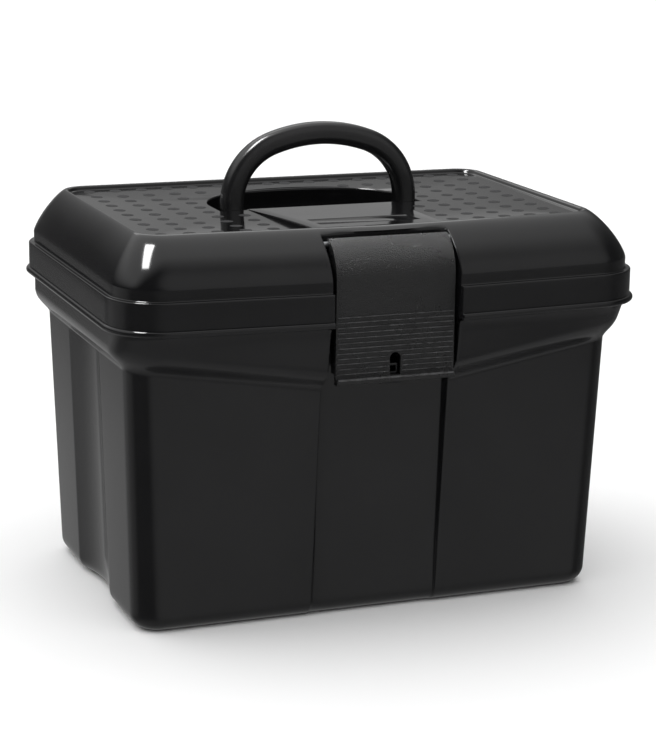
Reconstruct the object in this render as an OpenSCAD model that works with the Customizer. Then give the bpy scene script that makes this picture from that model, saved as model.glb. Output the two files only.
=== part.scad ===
// Grooming box with a hinged lid, a folding handle, a snap latch and a lift-out tray.
// Millimetres. +X runs along the front to the right, +Y to the rear and +Z up.
// The origin is on the floor, under the middle of the bead of the lid.

/* [Box] */
// Width over the bead of the lid
box_w = 400; // [380:1:430]
// Depth over the bead at its corners
box_d = 285; // [270:1:310]
// How far the middle of the front stands out from its corners
front_bow = 12; // [8:0.5:16]
// Plan radius of the bead at the corners
bead_corner_r = 42; // [36:1:48]
// Height of the rim of the base above the floor
rim_z = 241.5; // [225:0.5:260]
// Gap between faces that rest on each other
rest_gap = 0.3; // [0.2:0.05:0.5]
// Radial clearance of a pin in the bore that turns on it
run_gap = 0.06; // [0.03:0.01:0.1]
// Radial clearance of a pin in the bore that holds it
hold_gap = 0.02; // [0.01:0.01:0.04]

/* [Base] */
// Wall of the base
base_wall = 3; // [2.2:0.1:3.6]
// Inset of the rim from the bead
rim_in = 6.5; // [6:0.1:7.5]
// Distance of the crease under the shoulder from the rim, at the corners
crease_below = 51.5; // [46:0.5:60]
// How far the crease drops towards the middle of the front
crease_drop = 27; // [10:1:32]
// Height of the shoulder above the crease
shoulder_h = 18.5; // [12:0.5:22]
// Inset of the shoulder at the sides
shoulder_side = 10; // [6:0.5:14]
// Inset of the shoulder at the front
shoulder_front = 21.5; // [16:0.5:26]
// Inset of the shoulder at the rear
shoulder_rear = 17; // [10:0.5:20]
// Bow of the front face just under the crease
crease_bow = 14; // [8:0.5:18]
// Plan radius of the corners of the lower body
base_corner_r = 20; // [17:0.5:28]
// Draft of each side from the crease to the floor
draft_side = 6.2; // [2:0.2:10]
// Draft of the front corners from the crease to the floor
draft_front = 4.5; // [2:0.5:8]
// Draft of the rear from the crease to the floor
draft_rear = 6; // [2:0.5:10]
// Radius of the edge round the floor
floor_edge_r = 12; // [8:0.5:15]
// Thickness of the floor
floor_t = 3.5; // [2.5:0.1:5]
// Width of the flute in each side
flute_w = 83; // [50:1:110]
// Depth of the flute in each side
flute_depth = 6; // [2:0.5:7]
// Gap between the latch and each side of the recessed panel in the middle of the front
panel_side_gap = 3.7; // [1.5:0.1:5]
// Depth of the recessed panel at the floor
panel_depth = 3.5; // [2:0.5:5]
// How far the recessed panel leans out for each millimetre of height
panel_lean = 0.063; // [0.05:0.001:0.07]

/* [Lid] */
// Wall of the lid
lid_wall = 2.3; // [1.8:0.1:2.6]
// Height of the lid from the lower edge of its skirt to its crest
lid_h = 63.2; // [58:0.2:72]
// Height of the skirt
skirt_h = 23.8; // [20:0.2:27]
// Height of the bead round the lower edge of the skirt
bead_h = 4.8; // [3.6:0.2:6]
// How far the bead stands out from the skirt
bead_out = 2.4; // [1.6:0.1:2.6]
// Step from the skirt in to the dome
lid_step = 3.9; // [3:0.1:5]
// Height of the upright strip above the step
strip_h = 7.7; // [5:0.1:10]
// Inset of the crest from the skirt at the sides and the rear
crest_in = 26.5; // [26:0.5:34]
// Inset of the crest from the skirt at the front
crest_in_front = 38; // [36:0.5:42]
// Plan radius of the crest at the corners
crest_corner_r = 18; // [16:0.5:26]
// Drop from the crest to the edge of the top panel
panel_sink = 3.1; // [2:0.1:5]
// Further drop from the edge of the top panel to its middle
panel_dish = 1.8; // [0.5:0.1:2.5]
// Width of the raised tongue at the crest
tongue_w = 100; // [80:1:110]

/* [Handle] */
// Width over the legs of the handle
handle_w = 153; // [140:0.5:170]
// Height of the handle above its pivot
handle_h = 72.5; // [68:0.5:77]
// Width of the grip in the plane of the loop
grip_w = 16.5; // [14:0.5:18]
// Depth of the grip across the loop
grip_d = 16; // [13:0.5:17]
// Radius of the edges of the grip
grip_edge_r = 6; // [3:0.5:6.4]
// Radius of the bend above each leg, at the middle of the grip
bend_r = 46; // [40:1:50]
// Angle that each bend turns through
bend_angle = 70; // [60:1:74]
// Distance of the handle behind the middle of the box
handle_y = 9.5; // [2:0.5:12]
// Clearance round the folded handle
well_gap = 3; // [2:0.5:4]
// Diameter of the handle pins
handle_pin_d = 8; // [6:0.5:9]

/* [Latch] */
// Width of the latch plate
latch_w = 88.6; // [80:0.2:92]
// Clearance at each side of the latch
latch_side_gap = 3.1; // [1.5:0.1:4]
// Distance of the face of the latch behind the middle of the bead
latch_in = 12; // [10:0.5:14]
// Reach of the latch below the skirt
latch_reach = 41.5; // [36:0.5:46]
// Thickness of the latch plate
latch_t = 2.8; // [2:0.1:3.4]
// Depth of the returns at the sides of the latch
latch_return = 9; // [6:0.5:10]
// Radius of the bend of the latch
latch_bend_r = 30; // [29:0.5:32]
// Angle that the bend of the latch turns through
latch_bend_angle = 64; // [62:0.5:66]
// Radius of the barrel at the top of the latch
barrel_r = 4; // [3.4:0.1:4.4]
// Diameter of the latch pin
latch_pin_d = 4; // [3:0.1:4.6]
// Height of the lip along the lower edge of the latch
lip_h = 4.2; // [3:0.2:6]
// How far the lip stands out
lip_out = 3.2; // [2:0.2:5]
// Width of the slot in the latch
slot_w = 8; // [6:0.5:10]
// Height of the slot above the lip
slot_h = 16; // [14:0.5:20]

/* [Catch] */
// Width of the block of the catch
catch_w = 15; // [10:0.5:18]
// Width over the wings of the catch
catch_wings_w = 44; // [34:0.5:60]
// Height of the top of the catch above the lower edge of the latch
catch_rise = 4.5; // [4:0.5:6]
// How far the catch shows below the latch
catch_show = 3.5; // [1:0.5:6]
// Thickness of the wings of the catch
wing_t = 5; // [3:0.5:6]
// Room between the back of the latch and the front of the catch
catch_room = 3.5; // [2.5:0.1:5]
// Height of the seat of the catch above the recessed panel
catch_seat_h = 0.8; // [0.5:0.1:1.5]
// Clearance between the hooks of the latch and the catch
hook_gap = 0.4; // [0.3:0.05:0.8]
// Height of the eye on the catch
eye_h = 7.4; // [6:0.2:10]
// Thickness of the eye
eye_t = 2.2; // [1.6:0.1:3]
// Width of the bars round the hole of the eye
eye_bar = 1.5; // [1:0.1:2]
// Clearance at each side of the eye in the slot
eye_side_gap = 0.3; // [0.2:0.05:0.6]
// Clearance between the eye and the back of the latch
eye_gap = 1.2; // [0.5:0.1:2]

/* [Hinge] */
// Distance of the hinge axis behind the bead
hinge_out = 6.5; // [6.3:0.1:8]
// Radius of the knuckles
knuckle_r = 5.5; // [4.5:0.1:5.6]
// Width of the knuckle of the lid
lid_knuckle_w = 20; // [12:1:30]
// Width of each knuckle of the base
base_knuckle_w = 14; // [8:1:20]
// Gap between neighbouring knuckles
knuckle_gap = 0.4; // [0.3:0.1:1]
// Distance of each hinge from the end of the bead
hinge_inset = 85; // [70:1:120]
// Diameter of the hinge pins
hinge_pin_d = 4; // [3:0.1:5]

/* [Tray] */
// Depth of the lift-out tray below its flange
tray_h = 58; // [40:1:70]
// Wall of the tray
tray_wall = 2.2; // [1.6:0.1:3]
// Thickness of the flange of the tray
flange_t = 3; // [2:0.1:4]
// Gap between the flange and the walls of the base
flange_gap = 3; // [2:0.5:5]
// Width of the flange at the sides
flange_w = 13.5; // [12:0.5:16]
// Height of the flange above the crease
flange_h = 18; // [16:0.5:24]
// Draft of the tray from its flange to its floor
tray_draft = 6; // [3:0.5:10]
// Slope at the foot of the walls of the tray
tray_edge = 5; // [2:0.5:8]
// Thickness of the dividers
divider_t = 2.4; // [1.6:0.1:3]
// Distance of each divider from the middle of the tray
divider_x = 62; // [30:1:100]

/* [Hidden] */
$fn = 48;

shell_black = "#1c1c1d";
satin_black = "#262627";
steel_grey = "#a9abad";
tray_black = "#222224";

// Steps along the outlines of the shells
corner_steps = 5;
front_steps = 2;
flute_steps = 6;
dome_steps = 6;
inner_dome_steps = 4;
// Fullness of the curve of the dome at the sides and the rear, and at the front
dome_power = 1.25;
dome_power_front = 1.45;
// Depth of the barrel of the latch below the face of its bend
barrel_sink = 1;
// Draft of the walls of a notch over its depth
notch_draft = 1;
// An overlap that lets joined solids share a volume
sink = 0.5;

// Heights of the lid
shoulder_z = rim_z + rest_gap + lid_wall;
skirt_z = shoulder_z - skirt_h;
crest_z = skirt_z + lid_h;
strip_z = shoulder_z + strip_h;
panel_z = crest_z - panel_sink;
panel_mid_z = panel_z - panel_dish;
// Half sizes of the skirt
skirt_a = box_w / 2 - bead_out;
skirt_b = box_d / 2 - bead_out;
skirt_r = bead_corner_r - bead_out;
// Width of the wall between the crest and the top panel
crest_wall = 4.5;

// Half sizes of the rim of the base and of the crease, and the height of the crease
crease_z = rim_z - crease_below;
rim_a = box_w / 2 - rim_in;
rim_b = box_d / 2 - rim_in;
rim_r = bead_corner_r - rim_in;
crease_a = rim_a - shoulder_side;
crease_rear = rim_b - shoulder_rear;
crease_front = rim_b - shoulder_front;
// The base stays plain up to this height and goes inside the skirt above it
collar_z = skirt_z - 1.5;
side_mid_y = (crease_rear - crease_front) / 2;
// Recessed panel: its width, and its distance from the middle of the box at the floor
panel_w = latch_w + 2 * panel_side_gap;
panel_y = crease_front - draft_front - panel_depth;

// Latch: its face, bend and pivot
latch_a = latch_w / 2;
pocket_a = latch_a + latch_side_gap;
latch_y = -(box_d / 2 + front_bow) + latch_in;
latch_bend_y = latch_y + latch_bend_r;
latch_pivot_r = latch_bend_r - barrel_r - barrel_sink;
latch_pivot_y = latch_bend_y - latch_pivot_r * cos(latch_bend_angle);
latch_pivot_z = strip_z + latch_pivot_r * sin(latch_bend_angle);
latch_low_z = skirt_z - latch_reach;
latch_back_y = latch_y + latch_t;
latch_pin_end = pocket_a + 4.5;
// Pocket of the lid behind the latch
pocket_top_y = latch_pivot_y + barrel_r + 1.4;
pocket_low_y = latch_y + 13.5;
pocket_bend_z = latch_pivot_z - 8;
// The base is notched wider where the pocket goes inside it
rim_notch_a = pocket_a + lid_wall + 1;

// Catch on the base
catch_a = catch_w / 2;
wing_a = catch_wings_w / 2;
catch_top_z = latch_low_z + catch_rise;
catch_low_z = latch_low_z - catch_show;
catch_seat_y = -(panel_y + panel_lean * catch_top_z) - catch_seat_h;
catch_front_y = latch_back_y + catch_room;
eye_a = slot_w / 2 - eye_side_gap;
eye_front_y = latch_back_y + eye_gap;

// Handle: pivot, well and loop
handle_a = (handle_w - grip_w) / 2;
well_floor_gap = 0.8;
handle_pivot_z = panel_mid_z - grip_d / 2 - 2.7;
well_floor_z = handle_pivot_z - grip_d / 2 - well_floor_gap;
bend_x = handle_a - bend_r;
crown_r = bend_r + bend_x / cos(bend_angle);
leg_h = handle_h - grip_w / 2 - crown_r + bend_x * tan(bend_angle);
crown_y = leg_h - bend_x * tan(bend_angle);
well_a = handle_w / 2 + well_gap;
well_front_y = handle_y - grip_d / 2 - 0.4;
leg_slot_a = handle_a - grip_w / 2 - 0.7;
well_lip_y = well_front_y + 5.5;
handle_boss_w = 8;

// Hinge axis
hinge_x = box_w / 2 - hinge_inset;
hinge_y = box_d / 2 + hinge_out;
hinge_z = skirt_z + 0.5;
hinge_half = lid_knuckle_w / 2 + knuckle_gap + base_knuckle_w;

// Tray: flange, body and dividers
flange_z = crease_z + flange_h;
flange_a = rim_a - base_wall - flange_gap;
flange_rear = rim_b - base_wall - flange_gap;
flange_front = panel_y + panel_lean * flange_z - base_wall - 1.2;
flange_r = rim_r - base_wall - flange_gap;
tray_a = flange_a - flange_w;
tray_rear = flange_rear - flange_w - 2.5;
tray_front = flange_front - flange_w;
tray_r = base_corner_r;
tray_low_z = flange_z - tray_h;
tray_mid_y = (tray_rear - tray_front) / 2;
tray_top_z = flange_z + flange_t;
rest_w = 4;
rest_in = flange_a - 5;
rest_y = flute_w / 2 + 32;
guide_t = 2;
guide_gap = 0.35;
divider_top_gap = 4;

function mix(a, b, t) = a + (b - a) * t;
// Share of the shoulder's inset at height h above the crease, on the sides and on the front
function side_share(h) = pow(cos(90 * pow(min(h / shoulder_h, 1), 0.8)), 2.5);
function front_share(h) = mix(max(0, 1 - h / (collar_z - crease_z)), side_share(h), 0.25);
// Distance of the recessed front panel from the middle at height z
function recess_y(z) = panel_y + panel_lean * z;

// Closed outline of a shell at one height, counter-clockwise from above.
// a is its half width, rear and front its reach, bow how far the middle of the front stands out,
// r its corner radius, z its height at the corners and drop how far the middle of the front lies lower.
// notch_a and notch_y place the notch in the middle of the front, and flute is the depth of the flutes.
function outline(a, rear, front, bow, r, z, drop, notch_a, notch_y, flute) =
  let (
    front_y = function (x) -front - bow * (1 - abs(x) / a),
    point_z = function (x) z - drop * (1 - abs(x) / a),
    flat = a - r,
    run = [for (i = [0:front_steps]) mix(flat, notch_a, i / front_steps)],
    corner_y = front_y(flat) + r,
    notch = [-(notch_a - notch_draft), 0, notch_a - notch_draft],
    side = [for (i = [0:flute_steps]) 2 * i / flute_steps - 1],
    turn = [for (i = [0:corner_steps]) 90 * i / corner_steps],
    side_low = max(side_mid_y - flute_w / 2, corner_y + 2),
    side_high = min(side_mid_y + flute_w / 2, rear - r - 2)
  )
  concat(
    [for (x = run) [-x, front_y(x), point_z(x)]],
    [for (x = notch) [x, max(-notch_y, front_y(x)), point_z(x)]],
    [for (i = [front_steps:-1:0]) [run[i], front_y(run[i]), point_z(run[i])]],
    [for (i = [1:corner_steps]) let (t = turn[i] - 90, x = flat + r * cos(t))
      [x, corner_y + r * sin(t), point_z(x)]],
    [for (s = side) [a - flute * (1 - s * s), mix(side_low, side_high, (s + 1) / 2), z]],
    [for (t = turn) [flat + r * cos(t), rear - r + r * sin(t), z]],
    [for (t = turn) [-flat - r * sin(t), rear - r + r * cos(t), z]],
    [for (i = [flute_steps:-1:0]) let (s = side[i])
      [-a + flute * (1 - s * s), mix(side_low, side_high, (s + 1) / 2), z]],
    [for (i = [0:corner_steps - 1]) let (t = turn[i] + 180, x = -flat + r * cos(t))
      [x, corner_y + r * sin(t), point_z(x)]]
  );

// Solid through a list of outlines, closed by a fan over the first and the last of them
module loft(rings) {
  n = len(rings[0]);
  last = len(rings) - 1;
  first_mid = n * len(rings);
  last_mid = first_mid + 1;
  faces = concat(
    [for (j = [0:n - 1]) [first_mid, j, (j + 1) % n]],
    [for (k = [0:last - 1]) for (j = [0:n - 1]) let (i = (j + 1) % n)
      each [[k * n + j, (k + 1) * n + j, (k + 1) * n + i], [k * n + j, (k + 1) * n + i, k * n + i]]],
    [for (j = [0:n - 1]) [last_mid, last * n + (j + 1) % n, last * n + j]]
  );
  polyhedron(
    concat(
      [for (ring = rings) each ring],
      [[0, side_mid_y, rings[0][0][2]], [0, side_mid_y, rings[last][0][2]]]
    ),
    faces
  );
}

// Outline of the lower body at height z, moved in by inset
function body_ring(z, inset, flute, drop, notch_inset) =
  let (t = min(z / crease_z, 1))
  outline(
    crease_a - mix(draft_side, 0, t) - inset, crease_rear - mix(draft_rear, 0, t) - inset,
    crease_front - mix(draft_front, 0, t) - inset, crease_bow * t, max(base_corner_r - inset, 4),
    z, drop, panel_w / 2 + notch_inset, recess_y(z - drop) - inset, flute
  );
// Outline of the shoulder and collar at height z, moved in by inset
function collar_ring(z, inset, drop, notch_a) =
  let (h = z - crease_z, s = side_share(h), f = front_share(h))
  outline(
    rim_a - shoulder_side * s - inset, rim_b - shoulder_rear * s - inset,
    rim_b - shoulder_front * f - inset, mix(front_bow, crease_bow, f),
    mix(rim_r, base_corner_r, s) - inset, z, drop, notch_a, recess_y(z - drop) - inset, 0
  );

// Heights above the crease at which the outside and the inside of the shoulder are drawn
outer_steps = [0, 2.5, 5.5, 9, 13, shoulder_h];
inner_steps = [0, 9, shoulder_h];
// Rings of the base from the crease to the rim, moved in by inset
function upper_rings(inset, steps) = concat(
  [for (h = steps) collar_ring(crease_z + h, inset, crease_drop, panel_w / 2 + inset)],
  [
    collar_ring(collar_z - 3, inset, 0, panel_w / 2 + inset),
    collar_ring(collar_z, inset, 0, panel_w / 2 + inset),
    collar_ring(collar_z + 0.5, inset, 0, rim_notch_a + inset),
    collar_ring(rim_z, inset, 0, rim_notch_a + inset)
  ]
);
// Rings of the rounded floor edge: r is its radius, z its lowest height and step the angle between them
function floor_rings(r, z, inset, step) = [
  for (t = [0:step:90]) body_ring(z + r * (1 - cos(t)), inset + r * (1 - sin(t)), flute_depth, 0, inset)
];
// The wall right under the crease, where the flutes end
function top_wall_ring(inset) = body_ring(crease_z - 0.8, inset, flute_depth, crease_drop, inset);

module base_tub() {
  upper = upper_rings(base_wall, inner_steps);
  low = floor_rings(floor_edge_r - base_wall, floor_t, base_wall, 45);
  loft(concat(
    floor_rings(floor_edge_r, 0, 0, 30),
    [top_wall_ring(0)],
    upper_rings(0, outer_steps),
    [for (i = [len(upper) - 1:-1:0]) upper[i]],
    [top_wall_ring(base_wall)],
    [for (i = [len(low) - 1:-1:0]) low[i]]
  ));
}

// Bar along X between two places, of a given radius
module bar_x(x0, x1, y, z, r) {
  translate([x0, y, z]) rotate([0, 90, 0]) cylinder(r = r, h = x1 - x0);
}

// Solid with a side profile given as [y, z] points, between two places along X
module extrude_x(x0, x1, profile) {
  translate([x0, 0, 0]) rotate([90, 0, 90]) linear_extrude(x1 - x0) polygon(profile);
}

// Knuckle of the base with the web that carries it
module base_knuckle(x) {
  web_top = skirt_z - 0.7;
  web_low = hinge_z - 3 * knuckle_r;
  wall_y = rim_b - base_wall / 2;
  bar_x(x, x + base_knuckle_w, hinge_y, hinge_z, knuckle_r);
  extrude_x(x, x + base_knuckle_w, [
    [wall_y, web_low], [rim_b + 1, web_low], [hinge_y + knuckle_r * cos(40), hinge_z - knuckle_r * sin(40)],
    [hinge_y - knuckle_r * cos(40), web_top], [wall_y, web_top]
  ]);
}

// Rib inside the shoulder that the flange of the tray rests on
module tray_rest(side, y) {
  wall_x = rim_a - base_wall / 2;
  top = flange_z - rest_gap;
  mirror([side > 0 ? 0 : 1, 0, 0]) translate([0, y + rest_w / 2, 0]) rotate([90, 0, 0]) linear_extrude(rest_w)
    polygon([[rest_in, top], [rest_in, crease_z + 3], [wall_x, crease_z + 13.5], [wall_x, top]]);
}

module base_shell() {
  color(shell_black) difference() {
    union() {
      base_tub();
      for (side = [-1, 1]) {
        for (end = [-1, 1]) {
          near = side * hinge_x + end * (lid_knuckle_w / 2 + knuckle_gap);
          base_knuckle(end > 0 ? near : near - base_knuckle_w);
        }
        for (end = [-1, 1]) {
          tray_rest(side, side_mid_y + end * rest_y);
        }
      }
      extrude_x(-catch_a - 4, catch_a + 4, [
        [catch_seat_y, catch_low_z], [catch_seat_y, catch_top_z],
        [-recess_y(catch_low_z) + base_wall / 2, catch_top_z], [-recess_y(catch_low_z) + base_wall / 2, catch_low_z]
      ]);
    }
    for (side = [-1, 1]) {
      bar_x(side * hinge_x - hinge_half - 1, side * hinge_x + hinge_half + 1, hinge_y, hinge_z,
        hinge_pin_d / 2 + hold_gap);
    }
  }
}

// Outline of the lid: inset at the sides and at the front, height, corner radius and pocket
function lid_ring(in_side, in_front, z, r, bow, pocket, wall) =
  outline(
    skirt_a - in_side, skirt_b - in_side, skirt_b - in_front, bow, r, z, 0,
    pocket_a + wall, pocket ? -pocket_y(z) - wall : box_d, 0
  );
// Back of the pocket at height z
function pocket_y(z) =
  z < shoulder_z ? pocket_low_y
  : mix(pocket_low_y, pocket_top_y, min(1, (z - shoulder_z) / (pocket_bend_z - shoulder_z)));

// Share of the dome's inset at a share h of its height
function dome_in(h, power) = 1 - pow(max(0, 1 - pow(h, power)), 1 / power);
// Rings of the dome from the strip to the crest, moved in by wall and ending at height top
function dome_rings(wall, top, steps) = [
  for (i = [0:steps])
  let (
    h = pow(sin(90 * i / steps), 2 / dome_power),
    u = dome_in(h, dome_power)
  )
  lid_ring(
    mix(lid_step, crest_in, u) + wall, mix(lid_step, crest_in_front, dome_in(h, dome_power_front)) + wall,
    mix(strip_z, top, h), mix(skirt_r - lid_step, crest_corner_r, u) - wall, front_bow * (1 - u / 6), true, wall
  )
];
function skirt_ring(inset, z) =
  lid_ring(inset, inset, z, skirt_r - inset, front_bow, true, max(0, min(inset, lid_wall)));
// Skirt ring of the outer face, where the pocket keeps its width
function face_ring(inset, z) = lid_ring(inset, inset, z, skirt_r - inset, front_bow, true, 0);
// Ring of the top panel, moved in from the crest
function panel_ring(inset, z) =
  lid_ring(crest_in + inset, crest_in_front + inset, z, max(crest_corner_r - inset, 6), front_bow * 5 / 6, false, 0);

module lid_dome() {
  inner = dome_rings(lid_wall, panel_z - lid_wall, inner_dome_steps);
  under = panel_mid_z - lid_wall;
  loft(concat(
    [
      lid_ring(crest_in + 60, crest_in_front + 60, under, 8, front_bow * 5 / 6, false, 0),
      lid_ring(crest_in + 12, crest_in_front + 12, panel_z - lid_wall, 8, front_bow * 5 / 6, false, 0)
    ],
    [for (i = [inner_dome_steps:-1:0]) inner[i]],
    [
      lid_ring(lid_step + lid_wall, lid_step + lid_wall, shoulder_z - lid_wall, skirt_r - lid_step - lid_wall,
        front_bow, true, lid_wall),
      skirt_ring(lid_wall, shoulder_z - lid_wall),
      skirt_ring(lid_wall, skirt_z),
      face_ring(-bead_out / 2, skirt_z),
      face_ring(-bead_out, skirt_z + bead_h * 0.3),
      face_ring(-bead_out, skirt_z + bead_h * 0.7),
      face_ring(-bead_out / 3, skirt_z + bead_h),
      face_ring(0, skirt_z + bead_h + 0.6),
      face_ring(0, shoulder_z - 2.2),
      face_ring(0.9, shoulder_z - 0.6),
      face_ring(2.4, shoulder_z),
      face_ring(lid_step, shoulder_z + 0.2)
    ],
    dome_rings(0, crest_z, dome_steps),
    [
      panel_ring(crest_wall * 0.6, crest_z - 0.3),
      panel_ring(crest_wall, panel_z),
      panel_ring(34, panel_mid_z + panel_dish * 0.35),
      panel_ring(60, panel_mid_z)
    ]
  ));
}

// Outline of the folded handle, grown by gap, with its straight edge at front_y
function well_outline(gap, front_y) =
  let (
    bend_y = handle_y + leg_h,
    outer = bend_r + grip_w / 2 + gap,
    crown = crown_r + grip_w / 2 + gap,
    turn = [for (i = [0:6]) bend_angle * i / 6],
    top = [for (i = [1:7]) mix(bend_angle, 180 - bend_angle, i / 8)]
  )
  concat(
    [[-bend_x - outer, front_y], [bend_x + outer, front_y]],
    [for (t = turn) [bend_x + outer * cos(t), bend_y + outer * sin(t)]],
    [for (t = top) [crown * cos(t), handle_y + crown_y + crown * sin(t)]],
    [for (i = [6:-1:0]) [-bend_x - outer * cos(turn[i]), bend_y + outer * sin(turn[i])]]
  );

// Smooth tongue between the handle legs and the crest, which climbs to the front
module tongue() {
  front_y = -skirt_b - front_bow + crest_in_front;
  rear_a = leg_slot_a;
  steps = 6;
  edge = [for (i = [0:steps]) let (t = i / steps)
    [mix(rear_a, tongue_w / 2, sin(90 * t)), mix(well_lip_y, front_y + 1, t)]];
  low = panel_mid_z - 0.8;
  intersection() {
    translate([0, 0, low - 1]) linear_extrude(crest_z) polygon(concat(
      [for (p = edge) p], [for (i = [steps:-1:0]) [-edge[i][0], edge[i][1]]]
    ));
    extrude_x(-rear_a - 1, rear_a + 1, [
      [front_y - 1, low], [well_lip_y + 1, low], [well_lip_y + 1, panel_mid_z + 0.1], [well_front_y, panel_mid_z + 0.3], [front_y - 1, crest_z - 0.1]
    ]);
  }
}

// Cup under the top panel that takes the folded handle
module well_cup() {
  low = well_floor_z - lid_wall;
  translate([0, 0, low]) linear_extrude(panel_mid_z - low - 0.4)
    polygon(well_outline(well_gap + lid_wall, well_front_y - lid_wall));
  for (side = [-1, 1]) {
    bar_x(side > 0 ? well_a + sink : -well_a - handle_boss_w, side > 0 ? well_a + handle_boss_w : -well_a - sink,
      handle_y, handle_pivot_z, handle_pin_d / 2 + 3);
  }
}
module well_space() {
  translate([0, 0, well_floor_z]) linear_extrude(lid_h)
    polygon(well_outline(well_gap, well_front_y));
}

// Filled lip of the well between the two legs
module well_lip() {
  extrude_x(-leg_slot_a, leg_slot_a, [
    [well_front_y - sink, well_floor_z - sink], [well_lip_y, well_floor_z - sink], [well_lip_y, panel_mid_z - 5],
    [well_lip_y - 1.5, panel_mid_z - 1.5], [well_front_y, panel_mid_z + 0.3], [well_front_y - sink, panel_mid_z]
  ]);
}

// Knuckle of the lid with its web to the bead
module lid_knuckle(x) {
  bar_x(x - lid_knuckle_w / 2, x + lid_knuckle_w / 2, hinge_y, hinge_z, knuckle_r);
  extrude_x(x - lid_knuckle_w / 2, x + lid_knuckle_w / 2, [
    [skirt_b - lid_wall / 2, hinge_z + 0.6], [hinge_y, hinge_z + 0.6], [hinge_y, hinge_z + knuckle_r],
    [skirt_b - lid_wall / 2, hinge_z + 2.4 * knuckle_r]
  ]);
}

module lid_shell() {
  color(shell_black) difference() {
    union() {
      difference() {
        union() {
          lid_dome();
          tongue();
          well_cup();
        }
        well_space();
      }
      well_lip();
      for (side = [-1, 1]) {
        lid_knuckle(side * hinge_x);
        bar_x(side > 0 ? pocket_a + sink : -latch_pin_end - 1, side > 0 ? latch_pin_end + 1 : -pocket_a - sink,
          latch_pivot_y, latch_pivot_z, latch_pin_d / 2 + 0.6);
      }
    }
    for (side = [-1, 1]) {
      bar_x(side * hinge_x - lid_knuckle_w, side * hinge_x + lid_knuckle_w, hinge_y, hinge_z,
        hinge_pin_d / 2 + run_gap);
      bar_x(side > 0 ? well_a - 1 : -well_a - handle_boss_w - 1, side > 0 ? well_a + handle_boss_w + 1 : -well_a + 1,
        handle_y, handle_pivot_z, handle_pin_d / 2 + hold_gap);
    }
    bar_x(-latch_pin_end - 0.2, latch_pin_end + 0.2, latch_pivot_y, latch_pivot_z, latch_pin_d / 2 + hold_gap);
  }
}

// Section of the grip, centred and trimmed all round
module grip_section(trim) {
  flat_w = grip_w - 2 * grip_edge_r;
  flat_d = grip_d - 2 * grip_edge_r;
  square([flat_w, grip_d - 2 * trim], center = true);
  square([grip_w - 2 * trim, flat_d], center = true);
  for (x = [-1, 1]) {
    for (y = [-1, 1]) {
      translate([x * flat_w / 2, y * flat_d / 2]) circle(r = grip_edge_r - trim);
    }
  }
}

// Loop of the handle, lying in the XY plane with its pivot on the X axis.
// The crown is a hair thinner, so that its ends run into the bends.
module handle_loop() {
  into = 0.6;
  crown_start = bend_angle - into;
  for (side = [0, 1]) {
    mirror([side, 0, 0]) {
      translate([bend_x, leg_h, 0]) rotate_extrude(angle = bend_angle) translate([bend_r, 0]) grip_section(0);
      translate([handle_a, leg_h, 0]) rotate([90, 0, 0]) linear_extrude(leg_h) grip_section(0);
      bar_x(handle_a - grip_w / 2, handle_a + grip_w / 2, 0, 0, grip_d / 2);
    }
  }
  translate([0, crown_y, 0]) rotate([0, 0, crown_start]) rotate_extrude(angle = 180 - 2 * crown_start)
    translate([crown_r, 0]) grip_section(0.04);
}

module carry_handle() {
  color(satin_black) difference() {
    translate([0, handle_y, handle_pivot_z]) rotate([90, 0, 0]) handle_loop();
    for (side = [-1, 1]) {
      bar_x(side > 0 ? handle_a - 2 : -handle_w, side > 0 ? handle_w : -handle_a + 2, handle_y, handle_pivot_z,
        handle_pin_d / 2 + run_gap);
    }
  }
}

module handle_pin(side) {
  inner = handle_a - 1.6;
  outer = well_a + handle_boss_w;
  color(satin_black) bar_x(side > 0 ? inner : -outer, side > 0 ? outer : -inner, handle_y, handle_pivot_z,
    handle_pin_d / 2);
}
module handle_pin_left() { handle_pin(-1); }
module handle_pin_right() { handle_pin(1); }

// Side profile of the latch: the face, and a back set in by depth
function latch_profile(depth, low) =
  let (steps = 10, turn = [for (i = [0:steps]) latch_bend_angle * (1 - i / steps)])
  concat(
    [for (t = turn) [latch_bend_y - latch_bend_r * cos(t), strip_z + latch_bend_r * sin(t)]],
    [[latch_y, low], [latch_y + depth, low]],
    [for (i = [steps:-1:0]) let (r = latch_bend_r - depth)
      [latch_bend_y - r * cos(turn[i]), strip_z + r * sin(turn[i])]]
  );

module latch_plate() {
  lip_top = latch_low_z + lip_h;
  hook_low = latch_low_z + 1.2;
  return_t = latch_t * 0.9;
  color(satin_black) difference() {
    union() {
      extrude_x(-latch_a, latch_a, latch_profile(latch_t, latch_low_z));
      for (side = [-1, 1]) {
        extrude_x(side > 0 ? latch_a - return_t : -latch_a, side > 0 ? latch_a : -latch_a + return_t,
          latch_profile(latch_return, lip_top + 3));
        extrude_x(side > 0 ? catch_a + 2 : -wing_a + 1, side > 0 ? wing_a - 1 : -catch_a - 2, [
          [latch_back_y - sink, hook_low], [catch_front_y - hook_gap, hook_low + 2.5],
          [catch_front_y - hook_gap, hook_low + 4], [latch_back_y - sink, hook_low + 4]
        ]);
      }
      bar_x(-latch_a, latch_a, latch_pivot_y, latch_pivot_z, barrel_r);
      translate([-latch_a, latch_y - lip_out, latch_low_z]) cube([latch_w, lip_out + latch_t / 2, lip_h]);
    }
    translate([0, latch_back_y + 1, lip_top + 0.4]) rotate([90, 0, 0]) linear_extrude(latch_t + 2) polygon(concat(
      [[-slot_w / 2, 0], [slot_w / 2, 0]],
      [for (i = [0:8]) [slot_w / 2 * cos(22.5 * i), slot_h - slot_w / 2 + slot_w / 2 * sin(22.5 * i)]]
    ));
    bar_x(-latch_w, latch_w, latch_pivot_y, latch_pivot_z, latch_pin_d / 2 + run_gap);
  }
}

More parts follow.
